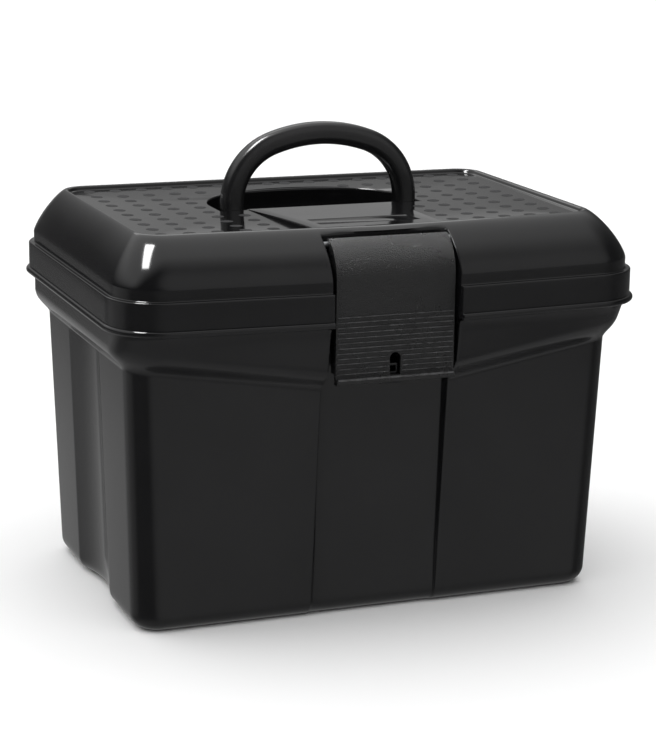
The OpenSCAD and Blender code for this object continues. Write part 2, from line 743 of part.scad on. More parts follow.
module latch_pin() {
  color(steel_grey) bar_x(-latch_pin_end, latch_pin_end, latch_pivot_y, latch_pivot_z, latch_pin_d / 2);
}

module latch_catch() {
  back = catch_seat_y - 0.05;
  wing_z = catch_top_z - wing_t;
  color(shell_black) union() {
    extrude_x(-catch_a, catch_a, [
      [back, catch_low_z], [back, catch_top_z], [catch_front_y, catch_top_z], [catch_front_y, catch_low_z + 2],
      [catch_front_y + 2, catch_low_z]
    ]);
    for (side = [-1, 1]) {
      extrude_x(side > 0 ? catch_a - sink : -wing_a, side > 0 ? wing_a : -catch_a + sink, [
        [back, wing_z], [back, catch_top_z], [catch_front_y + 2, catch_top_z], [catch_front_y, catch_top_z - 2],
        [catch_front_y, wing_z]
      ]);
    }
    difference() {
      translate([-eye_a, eye_front_y, catch_top_z - sink]) cube([2 * eye_a, eye_t, eye_h + sink]);
      translate([-eye_a + eye_bar, eye_front_y - 1, catch_top_z + eye_bar])
        cube([2 * (eye_a - eye_bar), eye_t + 2, eye_h - 2 * eye_bar]);
    }
    translate([-eye_a, eye_front_y, catch_top_z - wing_t])
      cube([2 * eye_a, catch_front_y - eye_front_y + sink, wing_t]);
  }
}

module hinge_pin(side) {
  color(steel_grey) bar_x(side * hinge_x - hinge_half, side * hinge_x + hinge_half, hinge_y, hinge_z, hinge_pin_d / 2);
}
module hinge_pin_left() { hinge_pin(-1); }
module hinge_pin_right() { hinge_pin(1); }

// Outline of the tray at height z, moved in by inset
function tray_ring(z, inset) =
  outline(tray_a - inset, tray_rear - inset, tray_front - inset, 0, max(tray_r - inset, 3), z, 0, tray_a / 6, box_d, 0);
function flange_ring(z, inset) =
  outline(flange_a - inset, flange_rear - inset, flange_front - inset, 0, flange_r - inset, z, 0, tray_a / 6, box_d, 0);

// Place of the front face of the long wall of the tray, and of the inside of the tray's front at height z
long_wall_y = tray_mid_y - tray_wall / 2;
function tray_inset(z) = tray_draft * (tray_top_z - z) / (tray_top_z - tray_low_z);
function tray_inner_y(z) = -tray_front + tray_inset(z) + tray_wall;

module lift_out_tray() {
  inside_z = tray_low_z + tray_wall;
  edge = tray_edge;
  grip_a = 40;
  color(tray_black) difference() {
    union() {
      loft([
        tray_ring(tray_low_z, tray_draft + edge),
        tray_ring(tray_low_z + edge * 0.3, tray_draft + edge * 0.3),
        tray_ring(tray_low_z + edge, tray_inset(tray_low_z + edge)),
        tray_ring(flange_z, tray_inset(flange_z)),
        flange_ring(flange_z, 0.8),
        flange_ring(flange_z + 0.8, 0),
        flange_ring(tray_top_z - 0.8, 0),
        flange_ring(tray_top_z, 0.8),
        tray_ring(tray_top_z, tray_wall),
        tray_ring(inside_z + edge, tray_inset(inside_z + edge) + tray_wall),
        tray_ring(inside_z, tray_draft + tray_wall + edge)
      ]);
      translate([-tray_a + tray_draft, long_wall_y, tray_low_z + sink])
        cube([2 * (tray_a - tray_draft), tray_wall, tray_h - divider_top_gap]);
      for (side = [-1, 1]) {
        for (face = [-1, 1]) {
          guide_x = side * divider_x + face * (divider_t / 2 + guide_gap + guide_t / 2) - guide_t / 2;
          translate([guide_x, long_wall_y - guide_t, inside_z - sink])
            cube([guide_t, guide_t + sink, tray_h - tray_wall - 8]);
          extrude_x(guide_x, guide_x + guide_t, [
            [tray_inner_y(inside_z) - sink, inside_z - sink], [tray_inner_y(inside_z) + guide_t, inside_z - sink],
            [tray_inner_y(flange_z - 8) + guide_t, flange_z - 8], [tray_inner_y(flange_z - 8) - sink, flange_z - 8]
          ]);
        }
      }
    }
    for (side = [-1, 1]) {
      translate([side * (tray_a + flange_w / 2) - 3.5, tray_mid_y - grip_a, flange_z - 1])
        cube([7, 2 * grip_a, flange_t + 2]);
    }
  }
}

module tray_divider(side) {
  low = tray_low_z + tray_wall + rest_gap;
  slope_top = low + tray_edge;
  slope_gap = 2 * rest_gap;
  high = tray_top_z - divider_top_gap;
  color(tray_black) extrude_x(side * divider_x - divider_t / 2, side * divider_x + divider_t / 2, [
    [tray_inner_y(tray_low_z) + tray_edge + slope_gap, low], [long_wall_y - rest_gap, low],
    [long_wall_y - rest_gap, high], [tray_inner_y(high) + rest_gap, high],
    [tray_inner_y(slope_top) + slope_gap, slope_top]
  ]);
}
module tray_divider_left() { tray_divider(-1); }
module tray_divider_right() { tray_divider(1); }

base_shell();
lid_shell();
carry_handle();
handle_pin_left();
handle_pin_right();
latch_plate();
latch_pin();
latch_catch();
hinge_pin_left();
hinge_pin_right();
lift_out_tray();
tray_divider_left();
tray_divider_right();
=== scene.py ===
import math

import bmesh
import bpy
from mathutils import Matrix, Quaternion, Vector


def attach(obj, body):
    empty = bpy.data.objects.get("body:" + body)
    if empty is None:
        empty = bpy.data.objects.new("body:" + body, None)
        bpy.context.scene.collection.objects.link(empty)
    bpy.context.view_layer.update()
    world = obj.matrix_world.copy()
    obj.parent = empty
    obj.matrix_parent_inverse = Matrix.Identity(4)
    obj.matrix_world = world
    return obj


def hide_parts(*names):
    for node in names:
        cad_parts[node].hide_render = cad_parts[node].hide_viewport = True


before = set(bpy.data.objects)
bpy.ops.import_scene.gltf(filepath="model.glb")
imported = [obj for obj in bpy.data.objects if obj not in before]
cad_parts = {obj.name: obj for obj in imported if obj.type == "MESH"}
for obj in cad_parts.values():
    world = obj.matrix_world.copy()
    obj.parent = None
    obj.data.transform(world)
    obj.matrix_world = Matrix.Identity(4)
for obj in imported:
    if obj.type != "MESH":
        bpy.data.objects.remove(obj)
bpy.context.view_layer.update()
mm = 0.001
print("frame loaded with", len(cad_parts), "nodes")

# Camera at the photograph's place: it stands to the left of the front and a little above the lid.
photoCamera = {
    "azimuth": -21.25, "elevation": 13.769, "roll": 0.743, "distance": 1744.16, "aim": 140.0,
    "moveRight": -5.233, "moveUp": -9.525, "focalPixels": 2308.81, "longSidePixels": 750,
    "sensorWidth": 36.0, "farEnd": 200.0,
}


def makeCamera(fit):
    azimuth, elevation, roll = (math.radians(fit[key]) for key in ("azimuth", "elevation", "roll"))
    back = Vector((math.sin(azimuth) * math.cos(elevation), -math.cos(azimuth) * math.cos(elevation),
                   math.sin(elevation)))
    right = (-back).cross(Vector((0, 0, 1))).normalized()
    up = right.cross(-back)
    right, up = (right * math.cos(roll) + up * math.sin(roll), up * math.cos(roll) - right * math.sin(roll))
    eye = Vector((0, 0, fit["aim"])) - right * fit["moveRight"] - up * fit["moveUp"] + back * fit["distance"]
    lens = bpy.data.cameras.new("photoCamera")
    lens.sensor_width = fit["sensorWidth"]
    lens.lens = fit["focalPixels"] * fit["sensorWidth"] / fit["longSidePixels"]
    lens.clip_end = fit["farEnd"]
    holder = bpy.data.objects.new("photoCamera", lens)
    bpy.context.scene.collection.objects.link(holder)
    place = Matrix((right, up, back)).transposed().to_4x4()
    place.translation = eye * mm
    holder.matrix_world = place
    bpy.context.scene.camera = holder


makeCamera(photoCamera)
bpy.context.scene.view_settings.view_transform = "Standard"
print("camera set")


# Materials
def linear(hexColour):
    value = [int(hexColour[i:i + 2], 16) / 255 for i in (1, 3, 5)]
    return [v / 12.92 if v <= 0.04045 else ((v + 0.055) / 1.055) ** 2.4 for v in value] + [1.0]


def addNode(tree, kind, inputs=None, **settings):
    node = tree.nodes.new(kind)
    for key, value in settings.items():
        setattr(node, key, value)
    for key, value in (inputs or {}).items():
        if isinstance(value, bpy.types.NodeSocket):
            tree.links.new(value, node.inputs[key])
        else:
            node.inputs[key].default_value = value
    return node


def perMetre(sizeMm):
    return 1000.0 / sizeMm  # a texture's scale for features of about this size


def newMaterial(name):
    material = bpy.data.materials.new(name)
    material.use_nodes = True
    material.node_tree.nodes.clear()
    return material


# Grain and wave are a width and a depth in millimetres, and cloud is a width.
def mouldedPlastic(name, dark, light, roughness, spread, grain, wave, sheen, cloud=60.0):
    material = newMaterial(name)
    tree = material.node_tree
    place = addNode(tree, "ShaderNodeTexCoord").outputs["Object"]
    patches = addNode(tree, "ShaderNodeTexNoise", {
        "Vector": place, "Scale": perMetre(cloud), "Detail": 4.0, "Roughness": 0.6})
    share = addNode(tree, "ShaderNodeMapRange", {
        "Value": patches.outputs["Fac"], "From Min": 0.35, "From Max": 0.65})
    tint = addNode(tree, "ShaderNodeMix", {
        "Factor": share.outputs["Result"], 6: linear(dark), 7: linear(light)}, data_type="RGBA")
    rough = addNode(tree, "ShaderNodeMapRange", {
        "Value": patches.outputs["Fac"], "From Min": 0.3, "From Max": 0.7,
        "To Min": roughness - spread, "To Max": roughness + spread})
    relief = {}
    for (width, depth), detail, fade in ((wave, 1.0, 0.4), (grain, 2.0, 0.55)):
        noise = addNode(tree, "ShaderNodeTexNoise", {
            "Vector": place, "Scale": perMetre(width), "Detail": detail, "Roughness": fade})
        bump = addNode(tree, "ShaderNodeBump", {
            "Height": noise.outputs["Fac"], "Strength": 1.0, "Distance": depth * mm, **relief})
        relief = {"Normal": bump.outputs["Normal"]}
    shader = addNode(tree, "ShaderNodeBsdfPrincipled", {
        "Base Color": tint.outputs[2], "Roughness": rough.outputs["Result"], "IOR": 1.49,
        "Specular IOR Level": sheen, **relief})
    addNode(tree, "ShaderNodeOutputMaterial", {"Surface": shader.outputs["BSDF"]})
    return material


# Polypropylene from a polished mould: near black, with clear reflections that waver a little over the flats.
glossyShell = mouldedPlastic("polypropyleneMouldedGloss", "#0e0e0f", "#121213", roughness=0.11, spread=0.02,
                             grain=(1.6, 0.003), wave=(34.0, 0.03), sheen=0.5)
# Polypropylene from a blasted mould: a soft sheen with a fine tooth, as a grip has.
satinGrip = mouldedPlastic("polypropyleneMouldedSatin", "#141415", "#1a1a1b", roughness=0.22, spread=0.03,
                           grain=(0.9, 0.012), wave=(25.0, 0.03), sheen=0.7)
# Polypropylene from an etched mould: a pebbled grain that glitters where light grazes it. Drawn coarser than
# the real 0.5 mm so that it still shows in the render.
etchedGrain = mouldedPlastic("polypropyleneMouldedEtched", "#0c0c0d", "#111112", roughness=0.28, spread=0.05,
                             grain=(0.8, 1.0), wave=(40.0, 0.02), sheen=1.0)
# The same resin with a matt spot tooled into the panel, so that it scatters where the panel mirrors.
mattSpot = mouldedPlastic("polypropyleneMouldedMatt", "#303031", "#363637", roughness=0.6, spread=0.04,
                          grain=(0.6, 0.02), wave=(30.0, 0.01), sheen=0.1)
# Rib tops and the lip of the latch: a paler colour as a painted highlight line, broken by a fine noise into
# duller patches.
paintedRibHighlight = mouldedPlastic("polypropyleneMouldedRubbed", "#222223", "#4c4c4d", roughness=0.34, spread=0.05,
                            grain=(0.9, 0.03), wave=(30.0, 0.01), sheen=0.5, cloud=4.0)
# Tray from the same resin with a plain satin finish.
satinTray = mouldedPlastic("polypropyleneMouldedTray", "#141415", "#191919", roughness=0.36, spread=0.05,
                           grain=(1.1, 0.012), wave=(30.0, 0.05), sheen=0.5)
# Drawn steel rod: fine lines along the rod and a soft grey shine.
steelSize = {"colour": "#a6a8aa", "line": 0.5, "depth": 0.02, "stretch": 0.02, "smooth": 0.22, "rough": 0.4}


def drawnSteel(size):
    material = newMaterial("steelDrawnRod")
    tree = material.node_tree
    place = addNode(tree, "ShaderNodeTexCoord")
    drawn = addNode(tree, "ShaderNodeMapping", {
        "Vector": place.outputs["Object"], "Scale": (size["stretch"], 1.0, 1.0)})
    lines = addNode(tree, "ShaderNodeTexNoise", {
        "Vector": drawn.outputs["Vector"], "Scale": perMetre(size["line"]), "Detail": 3.0})
    rough = addNode(tree, "ShaderNodeMapRange", {
        "Value": lines.outputs["Fac"], "To Min": size["smooth"], "To Max": size["rough"]})
    bump = addNode(tree, "ShaderNodeBump", {
        "Height": lines.outputs["Fac"], "Strength": 1.0, "Distance": size["depth"] * mm})
    shader = addNode(tree, "ShaderNodeBsdfPrincipled", {
        "Base Color": linear(size["colour"]), "Metallic": 1.0, "Roughness": rough.outputs["Result"],
        "Normal": bump.outputs["Normal"]})
    addNode(tree, "ShaderNodeOutputMaterial", {"Surface": shader.outputs["BSDF"]})
    return material


steelRod = drawnSteel(steelSize)
print("materials made")


# Meshes, with sizes in millimetres
def mix(a, b, t):
    return a + (b - a) * t


def makeObject(name, points, faces, material):
    mesh = bpy.data.meshes.new(name)
    mesh.from_pydata([(x * mm, y * mm, z * mm) for x, y, z in points], [], faces)
    mesh.materials.append(material)
    mesh.update()
    piece = bpy.data.objects.new(name, mesh)
    bpy.context.scene.collection.objects.link(piece)
    return piece


def bake(piece):
    graph = bpy.context.evaluated_depsgraph_get()
    mesh = bpy.data.meshes.new_from_object(piece.evaluated_get(graph), depsgraph=graph)
    old = piece.data
    piece.modifiers.clear()
    piece.data = mesh
    mesh.name = piece.name
    bpy.data.meshes.remove(old)
    return piece


def combine(piece, operation, tool):
    step = piece.modifiers.new("combine", "BOOLEAN")
    step.operation = operation
    step.solver = "EXACT"
    step.object = tool
    bpy.context.view_layer.update()
    bake(piece)
    bpy.data.objects.remove(tool)


def faceOut(piece):
    nearest = 1e-6  # metres
    shape = bmesh.new()
    shape.from_mesh(piece.data)
    bmesh.ops.remove_doubles(shape, verts=shape.verts, dist=nearest)
    bmesh.ops.dissolve_degenerate(shape, edges=shape.edges, dist=nearest)
    bmesh.ops.recalc_face_normals(shape, faces=shape.faces)
    shape.to_mesh(piece.data)
    shape.free()
    return piece


def roundEdges(piece, width, angle=35.0, segments=3):
    step = piece.modifiers.new("round", "BEVEL")
    step.width = width * mm
    step.segments = segments
    step.limit_method = "ANGLE"
    step.angle_limit = math.radians(angle)
    step.use_clamp_overlap = True
    bpy.context.view_layer.update()
    return faceOut(bake(piece))


def smooth(piece, angle=38.0):
    piece.data.shade_smooth()
    piece.data.set_sharp_from_angle(angle=math.radians(angle))
    return piece


def roundedPiece(name, points, faces, material, width):
    return smooth(roundEdges(makeObject(name, points, faces, material), width))


def mirrored(ring):
    return ring + [(-x, y, z) for x, y, z in reversed(ring[1:-1])]  # its ends lie on the middle plane


def ringFaces(count, rows):
    faces = []
    for start in range(0, (rows - 1) * count, count):
        for j in range(count):
            i = (j + 1) % count
            faces.append((start + j, start + i, start + count + i, start + count + j))
    return faces


def skin(rings):
    count, rows = len(rings[0]), len(rings)
    caps = [tuple(reversed(range(count))), tuple(range((rows - 1) * count, rows * count))]
    return [p for ring in rings for p in ring], ringFaces(count, rows) + caps


def loft(name, rings, material, middleY):
    count = len(rings[0])  # like a skin, but its ends close as fans about a middle point
    last = (len(rings) - 1) * count
    points = [p for ring in rings for p in ring]
    points += [(0.0, middleY, rings[0][0][2]), (0.0, middleY, rings[-1][0][2])]
    faces = ringFaces(count, len(rings))
    for j in range(count):
        i = (j + 1) % count
        faces += [(len(points) - 2, i, j), (len(points) - 1, last + j, last + i)]
    return makeObject(name, points, faces, material)


def prism(loop, x0, x1):
    # a side profile of (y, z) points, pushed along X
    area = sum(y0 * z1 - y1 * z0 for (y0, z0), (y1, z1) in zip(loop, loop[1:] + loop[:1]))
    return skin([[(x, y, z) for y, z in (loop if area > 0 else loop[::-1])] for x in (x0, x1)])


def gather(parts):
    points, faces = [], []
    for partPoints, partFaces in parts:
        faces += [tuple(len(points) + i for i in face) for face in partFaces]
        points += partPoints
    return points, faces


def quarterTurns(steps):
    return [math.pi / 2 * k / steps for k in range(steps + 1)]


def circle(y, z, r, steps=40):
    turns = [2 * math.pi * i / steps for i in range(steps)]
    return [(y + r * math.cos(t), z + r * math.sin(t)) for t in turns]


# Box: the sizes that the tub, the lid and the latch share, and the outline that every ring follows.
box = {
    "width": 400.0, "depth": 285.0, "frontBow": 12.0, "beadCorner": 42.0, "rim": 241.5, "skirt": 220.3,
    "strip": 251.8, "middle": 2.25, "fluteWidth": 83.0,
}
faceShares = (0.015, 0.06, 0.16, 0.3, 0.45, 0.6, 0.75, 0.88, 0.96)  # closer together near the edges
fluteHalf = [0.2, 0.4, 0.6, 0.8, 0.93, 0.985]
fluteSteps = [-s for s in reversed(fluteHalf)] + [0.0] + fluteHalf
cornerSteps = 14
notchSteps = 4


def outline(a, rear, front, bow, r, z, drop=0.0, notchHalf=48.0, notchY=None, flute=0.0, soft=1.0):
    # half width a, straight rear, front bowed in two flats, corners of radius r, a notch and two flutes
    def faceY(x):
        return -front - bow * (1 - x / a)

    slope = math.atan(bow / a)
    cornerX = a - r
    cornerY = faceY(cornerX) + r / math.cos(slope)
    depth = 0.0 if notchY is None else notchY - faceY(notchHalf)
    steps = range(notchSteps)
    if depth > 0.05:
        inner, outer = min(1.2 * soft, 0.45 * depth), min(soft, 0.45 * depth)
        wallX = notchHalf - min(1.0, depth / 3)
        turns = quarterTurns(notchSteps - 1)
        half = [((wallX - inner) * k / notchSteps, notchY) for k in steps]
        half += [(wallX - inner * (1 - math.sin(t)), notchY - inner * (1 - math.cos(t))) for t in turns]
        half += [(notchHalf + outer * (1 - math.cos(t)), faceY(notchHalf) + outer * (1 - math.sin(t)))
                 for t in turns]
    else:
        outer, flat = soft, notchHalf - 3  # the same points, spread along the plain face
        xs = [flat * k / notchSteps for k in steps] + [flat + 0.8 * k for k in steps]
        half = [(x, faceY(x)) for x in xs + [notchHalf + outer * k / (notchSteps - 1) for k in steps]]
    ends = notchHalf + outer, cornerX + r * math.sin(slope)
    half += [(mix(*ends, t), faceY(mix(*ends, t))) for t in faceShares]
    for k in range(cornerSteps + 1):
        t = mix(slope - math.pi / 2, 0.0, k / cornerSteps)
        half.append((cornerX + r * math.cos(t), cornerY + r * math.sin(t)))
    ring = [(x, y, z - drop * (1 - x / a)) for x, y in half]
    low = max(box["middle"] - box["fluteWidth"] / 2, cornerY + 2)
    high = min(box["middle"] + box["fluteWidth"] / 2, rear - r - 2)
    ring += [(a, low - 1.6, z), (a, low - 0.3, z)]
    ring += [(a - flute * (1 - s * s), mix(low, high, (s + 1) / 2), z) for s in fluteSteps]
    ring += [(a, high + 0.3, z), (a, high + 1.6, z)]
    ring += [(cornerX + r * math.cos(t), rear - r + r * math.sin(t), z) for t in quarterTurns(cornerSteps)]
    return mirrored(ring + [(cornerX * t, rear, z) for t in (0.95, 0.6, 0.3, 0.0)])


# Carrying handle: one solid loop with rounded edges, its feet rounded about the pins. Seen along Y it is
# a leg, a bend, a flat crown, and the same on the other side.
handle = {
    "half": 68.25, "gripWidth": 16.5, "gripDepth": 16.0, "edge": 6.0, "bend": 46.0, "bendAngle": 70.0,
    "height": 72.5, "y": 9.5, "pivot": 267.9,
}
bendX = handle["half"] - handle["bend"]
bendRise = bendX * math.tan(math.radians(handle["bendAngle"]))
crownR = handle["bend"] + bendX / math.cos(math.radians(handle["bendAngle"]))
crownZ = handle["height"] - handle["gripWidth"] / 2 - crownR
legHeight = crownZ + bendRise


def bendArc(grow, bendSteps, crownSteps):
    arc = []  # across, along and angle, from the right leg to the middle of the crown
    for k in range(bendSteps + 1):
        t = math.radians(handle["bendAngle"] * k / bendSteps)
        r = handle["bend"] + grow
        arc.append((bendX + r * math.cos(t), legHeight + r * math.sin(t), t))
    for k in range(1, crownSteps + 1):
        t = math.radians(mix(handle["bendAngle"], 90.0, k / crownSteps))
        arc.append(((crownR + grow) * math.cos(t), crownZ + (crownR + grow) * math.sin(t), t))
    return arc


def gripSection(width, depth, edge, steps=6):
    edge = min(edge, width / 2 - 0.01, depth / 2 - 0.01)
    section = []
    for cx, cy, start in ((1, 1, 0), (-1, 1, 90), (-1, -1, 180), (1, -1, 270)):
        for k in range(steps + 1):
            t = math.radians(start + 90 * k / steps)
            section.append((cx * (width / 2 - edge) + edge * math.cos(t),
                            cy * (depth / 2 - edge) + edge * math.sin(t)))
    return section


def handleLoop():
    size = handle
    foot = size["gripDepth"] / 2
    path = []  # place, outward direction in the plane of the loop, depth of the section
    for t in quarterTurns(8):
        down = foot * math.cos(t)
        path.append((size["half"], -down, 1.0, 0.0, 2 * math.sqrt(max(0.02, foot * foot - down * down))))
    path.append((size["half"], legHeight * 0.5, 1.0, 0.0, size["gripDepth"]))
    path += [(x, z, math.cos(t), math.sin(t), size["gripDepth"]) for x, z, t in bendArc(0.0, 24, 10)]
    path += [(-x, z, -dx, dz, deep) for x, z, dx, dz, deep in reversed(path[:-1])]
    rings = []
    for x, z, dx, dz, deep in path:
        section = gripSection(size["gripWidth"], deep, size["edge"])
        rings.append([(x + dx * u, size["y"] + v, size["pivot"] + z + dz * u) for u, v in section])
    return skin(rings)


carryHandle = smooth(faceOut(makeObject("carryHandle", *handleLoop(), satinGrip)), 45.0)
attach(carryHandle, "handle")
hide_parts("carry_handle")
print("handle made")


# Latch: a broad flap that bends over the edge of the lid, with side returns, a lip, a slot and two hooks.
latch = {
    "half": 44.3, "face": -142.5, "thickness": 2.8, "returns": 9.0, "returnWidth": 2.5, "bend": 30.0,
    "bendAngle": 64.0, "barrel": 4.0, "barrelSink": 1.0, "low": 178.8, "lipHeight": 4.2, "lipOut": 3.2,
    "slotHalf": 4.0, "slotLow": 183.4, "slotHigh": 199.4, "hookIn": 9.5, "hookOut": 21.0, "hookUp": 1.2,
    "hookReach": 3.1, "hookHeight": 4.0, "edge": 0.5,
}
latchBendY = latch["face"] + latch["bend"]
latchPivotR = latch["bend"] - latch["barrel"] - latch["barrelSink"]
latchPivot = (latchBendY - latchPivotR * math.cos(math.radians(latch["bendAngle"])),
              box["strip"] + latchPivotR * math.sin(math.radians(latch["bendAngle"])))


def latchLoop(depth, low, lip):
    face, bendSteps = latch["face"], 20
    turn = [math.radians(latch["bendAngle"] * (1 - k / bendSteps)) for k in range(bendSteps + 1)]
    rise = box["strip"]
    loop = [(latchBendY - latch["bend"] * math.cos(t), rise + latch["bend"] * math.sin(t)) for t in turn]
    if lip:
        top = latch["low"] + latch["lipHeight"]
        out = face - latch["lipOut"]
        loop += [(face, top + 0.9), (face - 0.25, top + 0.25), (face - 0.9, top), (out + 0.4, top - 0.15),
                 (out, top - 0.6), (out, low + 0.8), (out + 0.7, low)]
    else:
        loop.append((face, low))
    loop.append((face + depth, low))
    inner = latch["bend"] - depth
    return loop + [(latchBendY - inner * math.cos(t), rise + inner * math.sin(t)) for t in reversed(turn)]


def latchHooks():
    back = latch["face"] + latch["thickness"]
    low, front = latch["low"] + latch["hookUp"], back + latch["hookReach"]
    top, lead = low + latch["hookHeight"], 2.5
    loop = [(back - 0.5, low), (front, low + lead), (front, top), (back - 0.5, top)]
    return gather(prism(loop, *sorted((side * latch["hookIn"], side * latch["hookOut"])))
                  for side in (-1, 1))


def latchSlot():
    half, archSteps = latch["slotHalf"], 16
    arch = [(-half, latch["slotLow"]), (half, latch["slotLow"])]
    for k in range(archSteps + 1):
        t = math.pi * k / archSteps
        arch.append((half * math.cos(t), latch["slotHigh"] - half * (1 - math.sin(t))))
    return skin([[(x, y, z) for x, z in arch] for y in (latch["face"] - 1, latch["face"] + 5)])


def latchPiece():
    half = latch["half"]
    body = prism(latchLoop(latch["thickness"], latch["low"], True), -half, half)
    plate = faceOut(makeObject("latchPlate", *body, etchedGrain))
    profile = latchLoop(latch["returns"], latch["low"] + latch["lipHeight"] + 3, False)
    tools = [(prism(profile, *sorted((side * half, side * (half - latch["returnWidth"])))), "UNION")
             for side in (-1, 1)]
    for shape, operation in tools + [(latchHooks(), "UNION"), (latchSlot(), "DIFFERENCE")]:
        combine(plate, operation, faceOut(makeObject("latchTool", *shape, etchedGrain)))
    return smooth(roundEdges(plate, latch["edge"], 40.0), 40.0)


latchPlate = latchPiece()
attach(latchPlate, "latch")
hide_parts("latch_plate")
barrelHalf = latch["half"] - 0.3
barrelShape = prism(circle(*latchPivot, latch["barrel"]), -barrelHalf, barrelHalf)
barrel = roundedPiece("latchBarrel", *barrelShape, etchedGrain, 0.4)
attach(barrel, "latch")
print("latch made")


# Lid: bead, skirt, step, upright strip, dome, crest and a dished panel, in one closed shell.
lid = {
    "wall": 2.3, "shoulder": 244.1, "crest": 283.5, "panel": 280.4, "panelMiddle": 278.6, "bead": 2.4,
    "step": 3.9, "crestIn": 26.5, "crestInFront": 38.0, "crestCorner": 18.0, "fullness": 1.25,
    "fullnessFront": 1.45, "edge": 1.1, "soft": 1.1, "smoothAngle": 30.0,
}
pocketSize = {"half": 47.4, "in": 13.5, "gap": 1.4, "bend": 8.0}
# An inset and a rise for each ring: the ledge, which falls a little towards the dome, and the crest.
ledgeProfile = ((3.2, -0.08), (3.55, 0.08), (3.83, 0.45))
crestProfile = ((0.5, 0.0), (1.0, -0.06), (1.6, -0.24), (2.2, -0.58), (2.7, -1.05), (3.1, -1.6),
                (3.45, -2.15), (3.85, -2.65), (4.3, -2.95), (4.9, -3.1))
crestBow = box["frontBow"] * 5 / 6
skirtHalf = box["width"] / 2 - lid["bead"]
skirtDepth = box["depth"] / 2 - lid["bead"]
skirtCorner = box["beadCorner"] - lid["bead"]


def pocketY(z):
    low = latch["face"] + pocketSize["in"]
    top = latchPivot[0] + latch["barrel"] + pocketSize["gap"]
    t = (z - lid["shoulder"]) / (latchPivot[1] - pocketSize["bend"] - lid["shoulder"])
    return mix(low, top, min(1.0, max(0.0, t)))


def lidRing(inSide, inFront, z, r, bow, pocket=True, wall=0.0):
    return outline(skirtHalf - inSide, skirtDepth - inSide, skirtDepth - inFront, bow, r, z, 0.0,
                   pocketSize["half"] + wall, pocketY(z) + wall if pocket else None, 0.0, lid["soft"])


def skirtRing(inset, z, wall=0.0):
    return lidRing(inset, inset, z, skirtCorner - inset, box["frontBow"], True, wall)


def topRing(inset, z):
    return lidRing(lid["crestIn"] + inset, lid["crestInFront"] + inset, z,
                   max(lid["crestCorner"] - inset, 6.0), crestBow, False)


def domeIn(h, power):
    return 1 - max(0.0, 1 - h ** power) ** (1 / power)


def domeRings(wall, top, steps):
    rings = []
    for t in quarterTurns(steps):
        h = math.sin(t) ** (2 / lid["fullness"])
        side, front = domeIn(h, lid["fullness"]), domeIn(h, lid["fullnessFront"])
        rings.append(lidRing(mix(lid["step"], lid["crestIn"], side) + wall,
                             mix(lid["step"], lid["crestInFront"], front) + wall,
                             mix(box["strip"], top, h),
                             mix(skirtCorner - lid["step"], lid["crestCorner"], side) - wall,
                             mix(box["frontBow"], crestBow, side), True, wall))
    return rings


def dishZ(inset):
    rimIn, slopeWidth = crestProfile[-1][0], 60
    t = min(1.0, max(0.0, (inset - rimIn) / slopeWidth))
    return mix(lid["panelMiddle"], lid["panel"], (1 - t) ** 2)


def lidRings():
    wall, low, shoulder, bead = lid["wall"], box["skirt"], lid["shoulder"], lid["bead"]
    inStep = lid["step"] + wall
    rings = [topRing(60, lid["panelMiddle"] - wall), topRing(12, lid["panel"] - wall)]
    rings += domeRings(wall, lid["panel"] - wall, 10)[::-1]
    rings.append(skirtRing(inStep, shoulder - wall, wall))
    for z in (shoulder - wall, shoulder - wall - 1, low + 8, low + 0.6):
        rings.append(skirtRing(wall, z, wall))
    for inset, up in ((wall - 0.2, 0.15), (wall - 0.7, 0.0), (0.4, 0.0)):  # lower edge of the skirt
        rings.append(skirtRing(inset, low + up, inset))
    for k in range(13):  # half-round bead
        t = math.radians(-90 + 15 * k)
        rings.append(skirtRing(-bead * math.cos(t), low + bead * (1 + math.sin(t))))
    for up in (0.5, 1.6, 5.0, 9.0, 13.0):
        rings.append(skirtRing(0.0, low + 2 * bead + up))
    for t in quarterTurns(8):  # rounded shoulder
        rings.append(skirtRing(lid["edge"] * (1 - math.cos(t)), shoulder - lid["edge"] * (1 - math.sin(t))))
    for inset, rise in ledgeProfile:
        rings.append(skirtRing(inset, shoulder + rise))
    for up in (1.0, 2.5, 4.5, 6.3):
        rings.append(skirtRing(lid["step"], shoulder + up))
    rings += domeRings(0.0, lid["crest"], 26)
    rings += [topRing(inset, lid["crest"] + rise) for inset, rise in crestProfile]
    inset = 6.2
    while inset < 88:  # the dish, up to near its middle
        rings.append(topRing(inset, dishZ(inset)))
        inset += 2.2 if inset < 14 else 5.0
    return rings


lidShell = loft("lidShell", lidRings(), glossyShell, box["middle"])
print("lid shell made:", len(lidShell.data.polygons), "faces")

# Handle well in the lid, and the tongue that rises from its front edge to the crest.
well = {
    "gap": 3.0, "front": 0.4, "floor": 259.1, "lipY": 6.6, "lipR": 5.0, "roll": 1.6, "slotHalf": 59.3,
    "rollRise": 0.3, "middle": 30.0,
}
tongue = {"half": 50.0, "rise": 0.25, "sink": 0.8, "edge": 1.0, "back": 5.6, "rows": 24}
fieldSize = {"half": 39.0, "rear": -66.0, "front": -95.0, "depth": 0.5, "corner": 2.0}


def wellRing(z, grow, lipFlare=None):
    reach = handle["gripWidth"] / 2 + well["gap"] + grow
    frontY = handle["y"] - handle["gripDepth"] / 2 - well["front"] - grow
    if lipFlare is None:
        right = [(0.0, frontY)]
    else:
        slot, lipY = well["slotHalf"] - grow, well["lipY"] - lipFlare
        right = [(0.0, lipY), (slot * 0.5, lipY), (slot, lipY), (slot, frontY)]
    right.append((bendX + handle["bend"] + reach, frontY))
    right += [(x, handle["y"] + y) for x, y, t in bendArc(reach, 12, 8)]
    return mirrored([(x, y, z) for x, y in right])


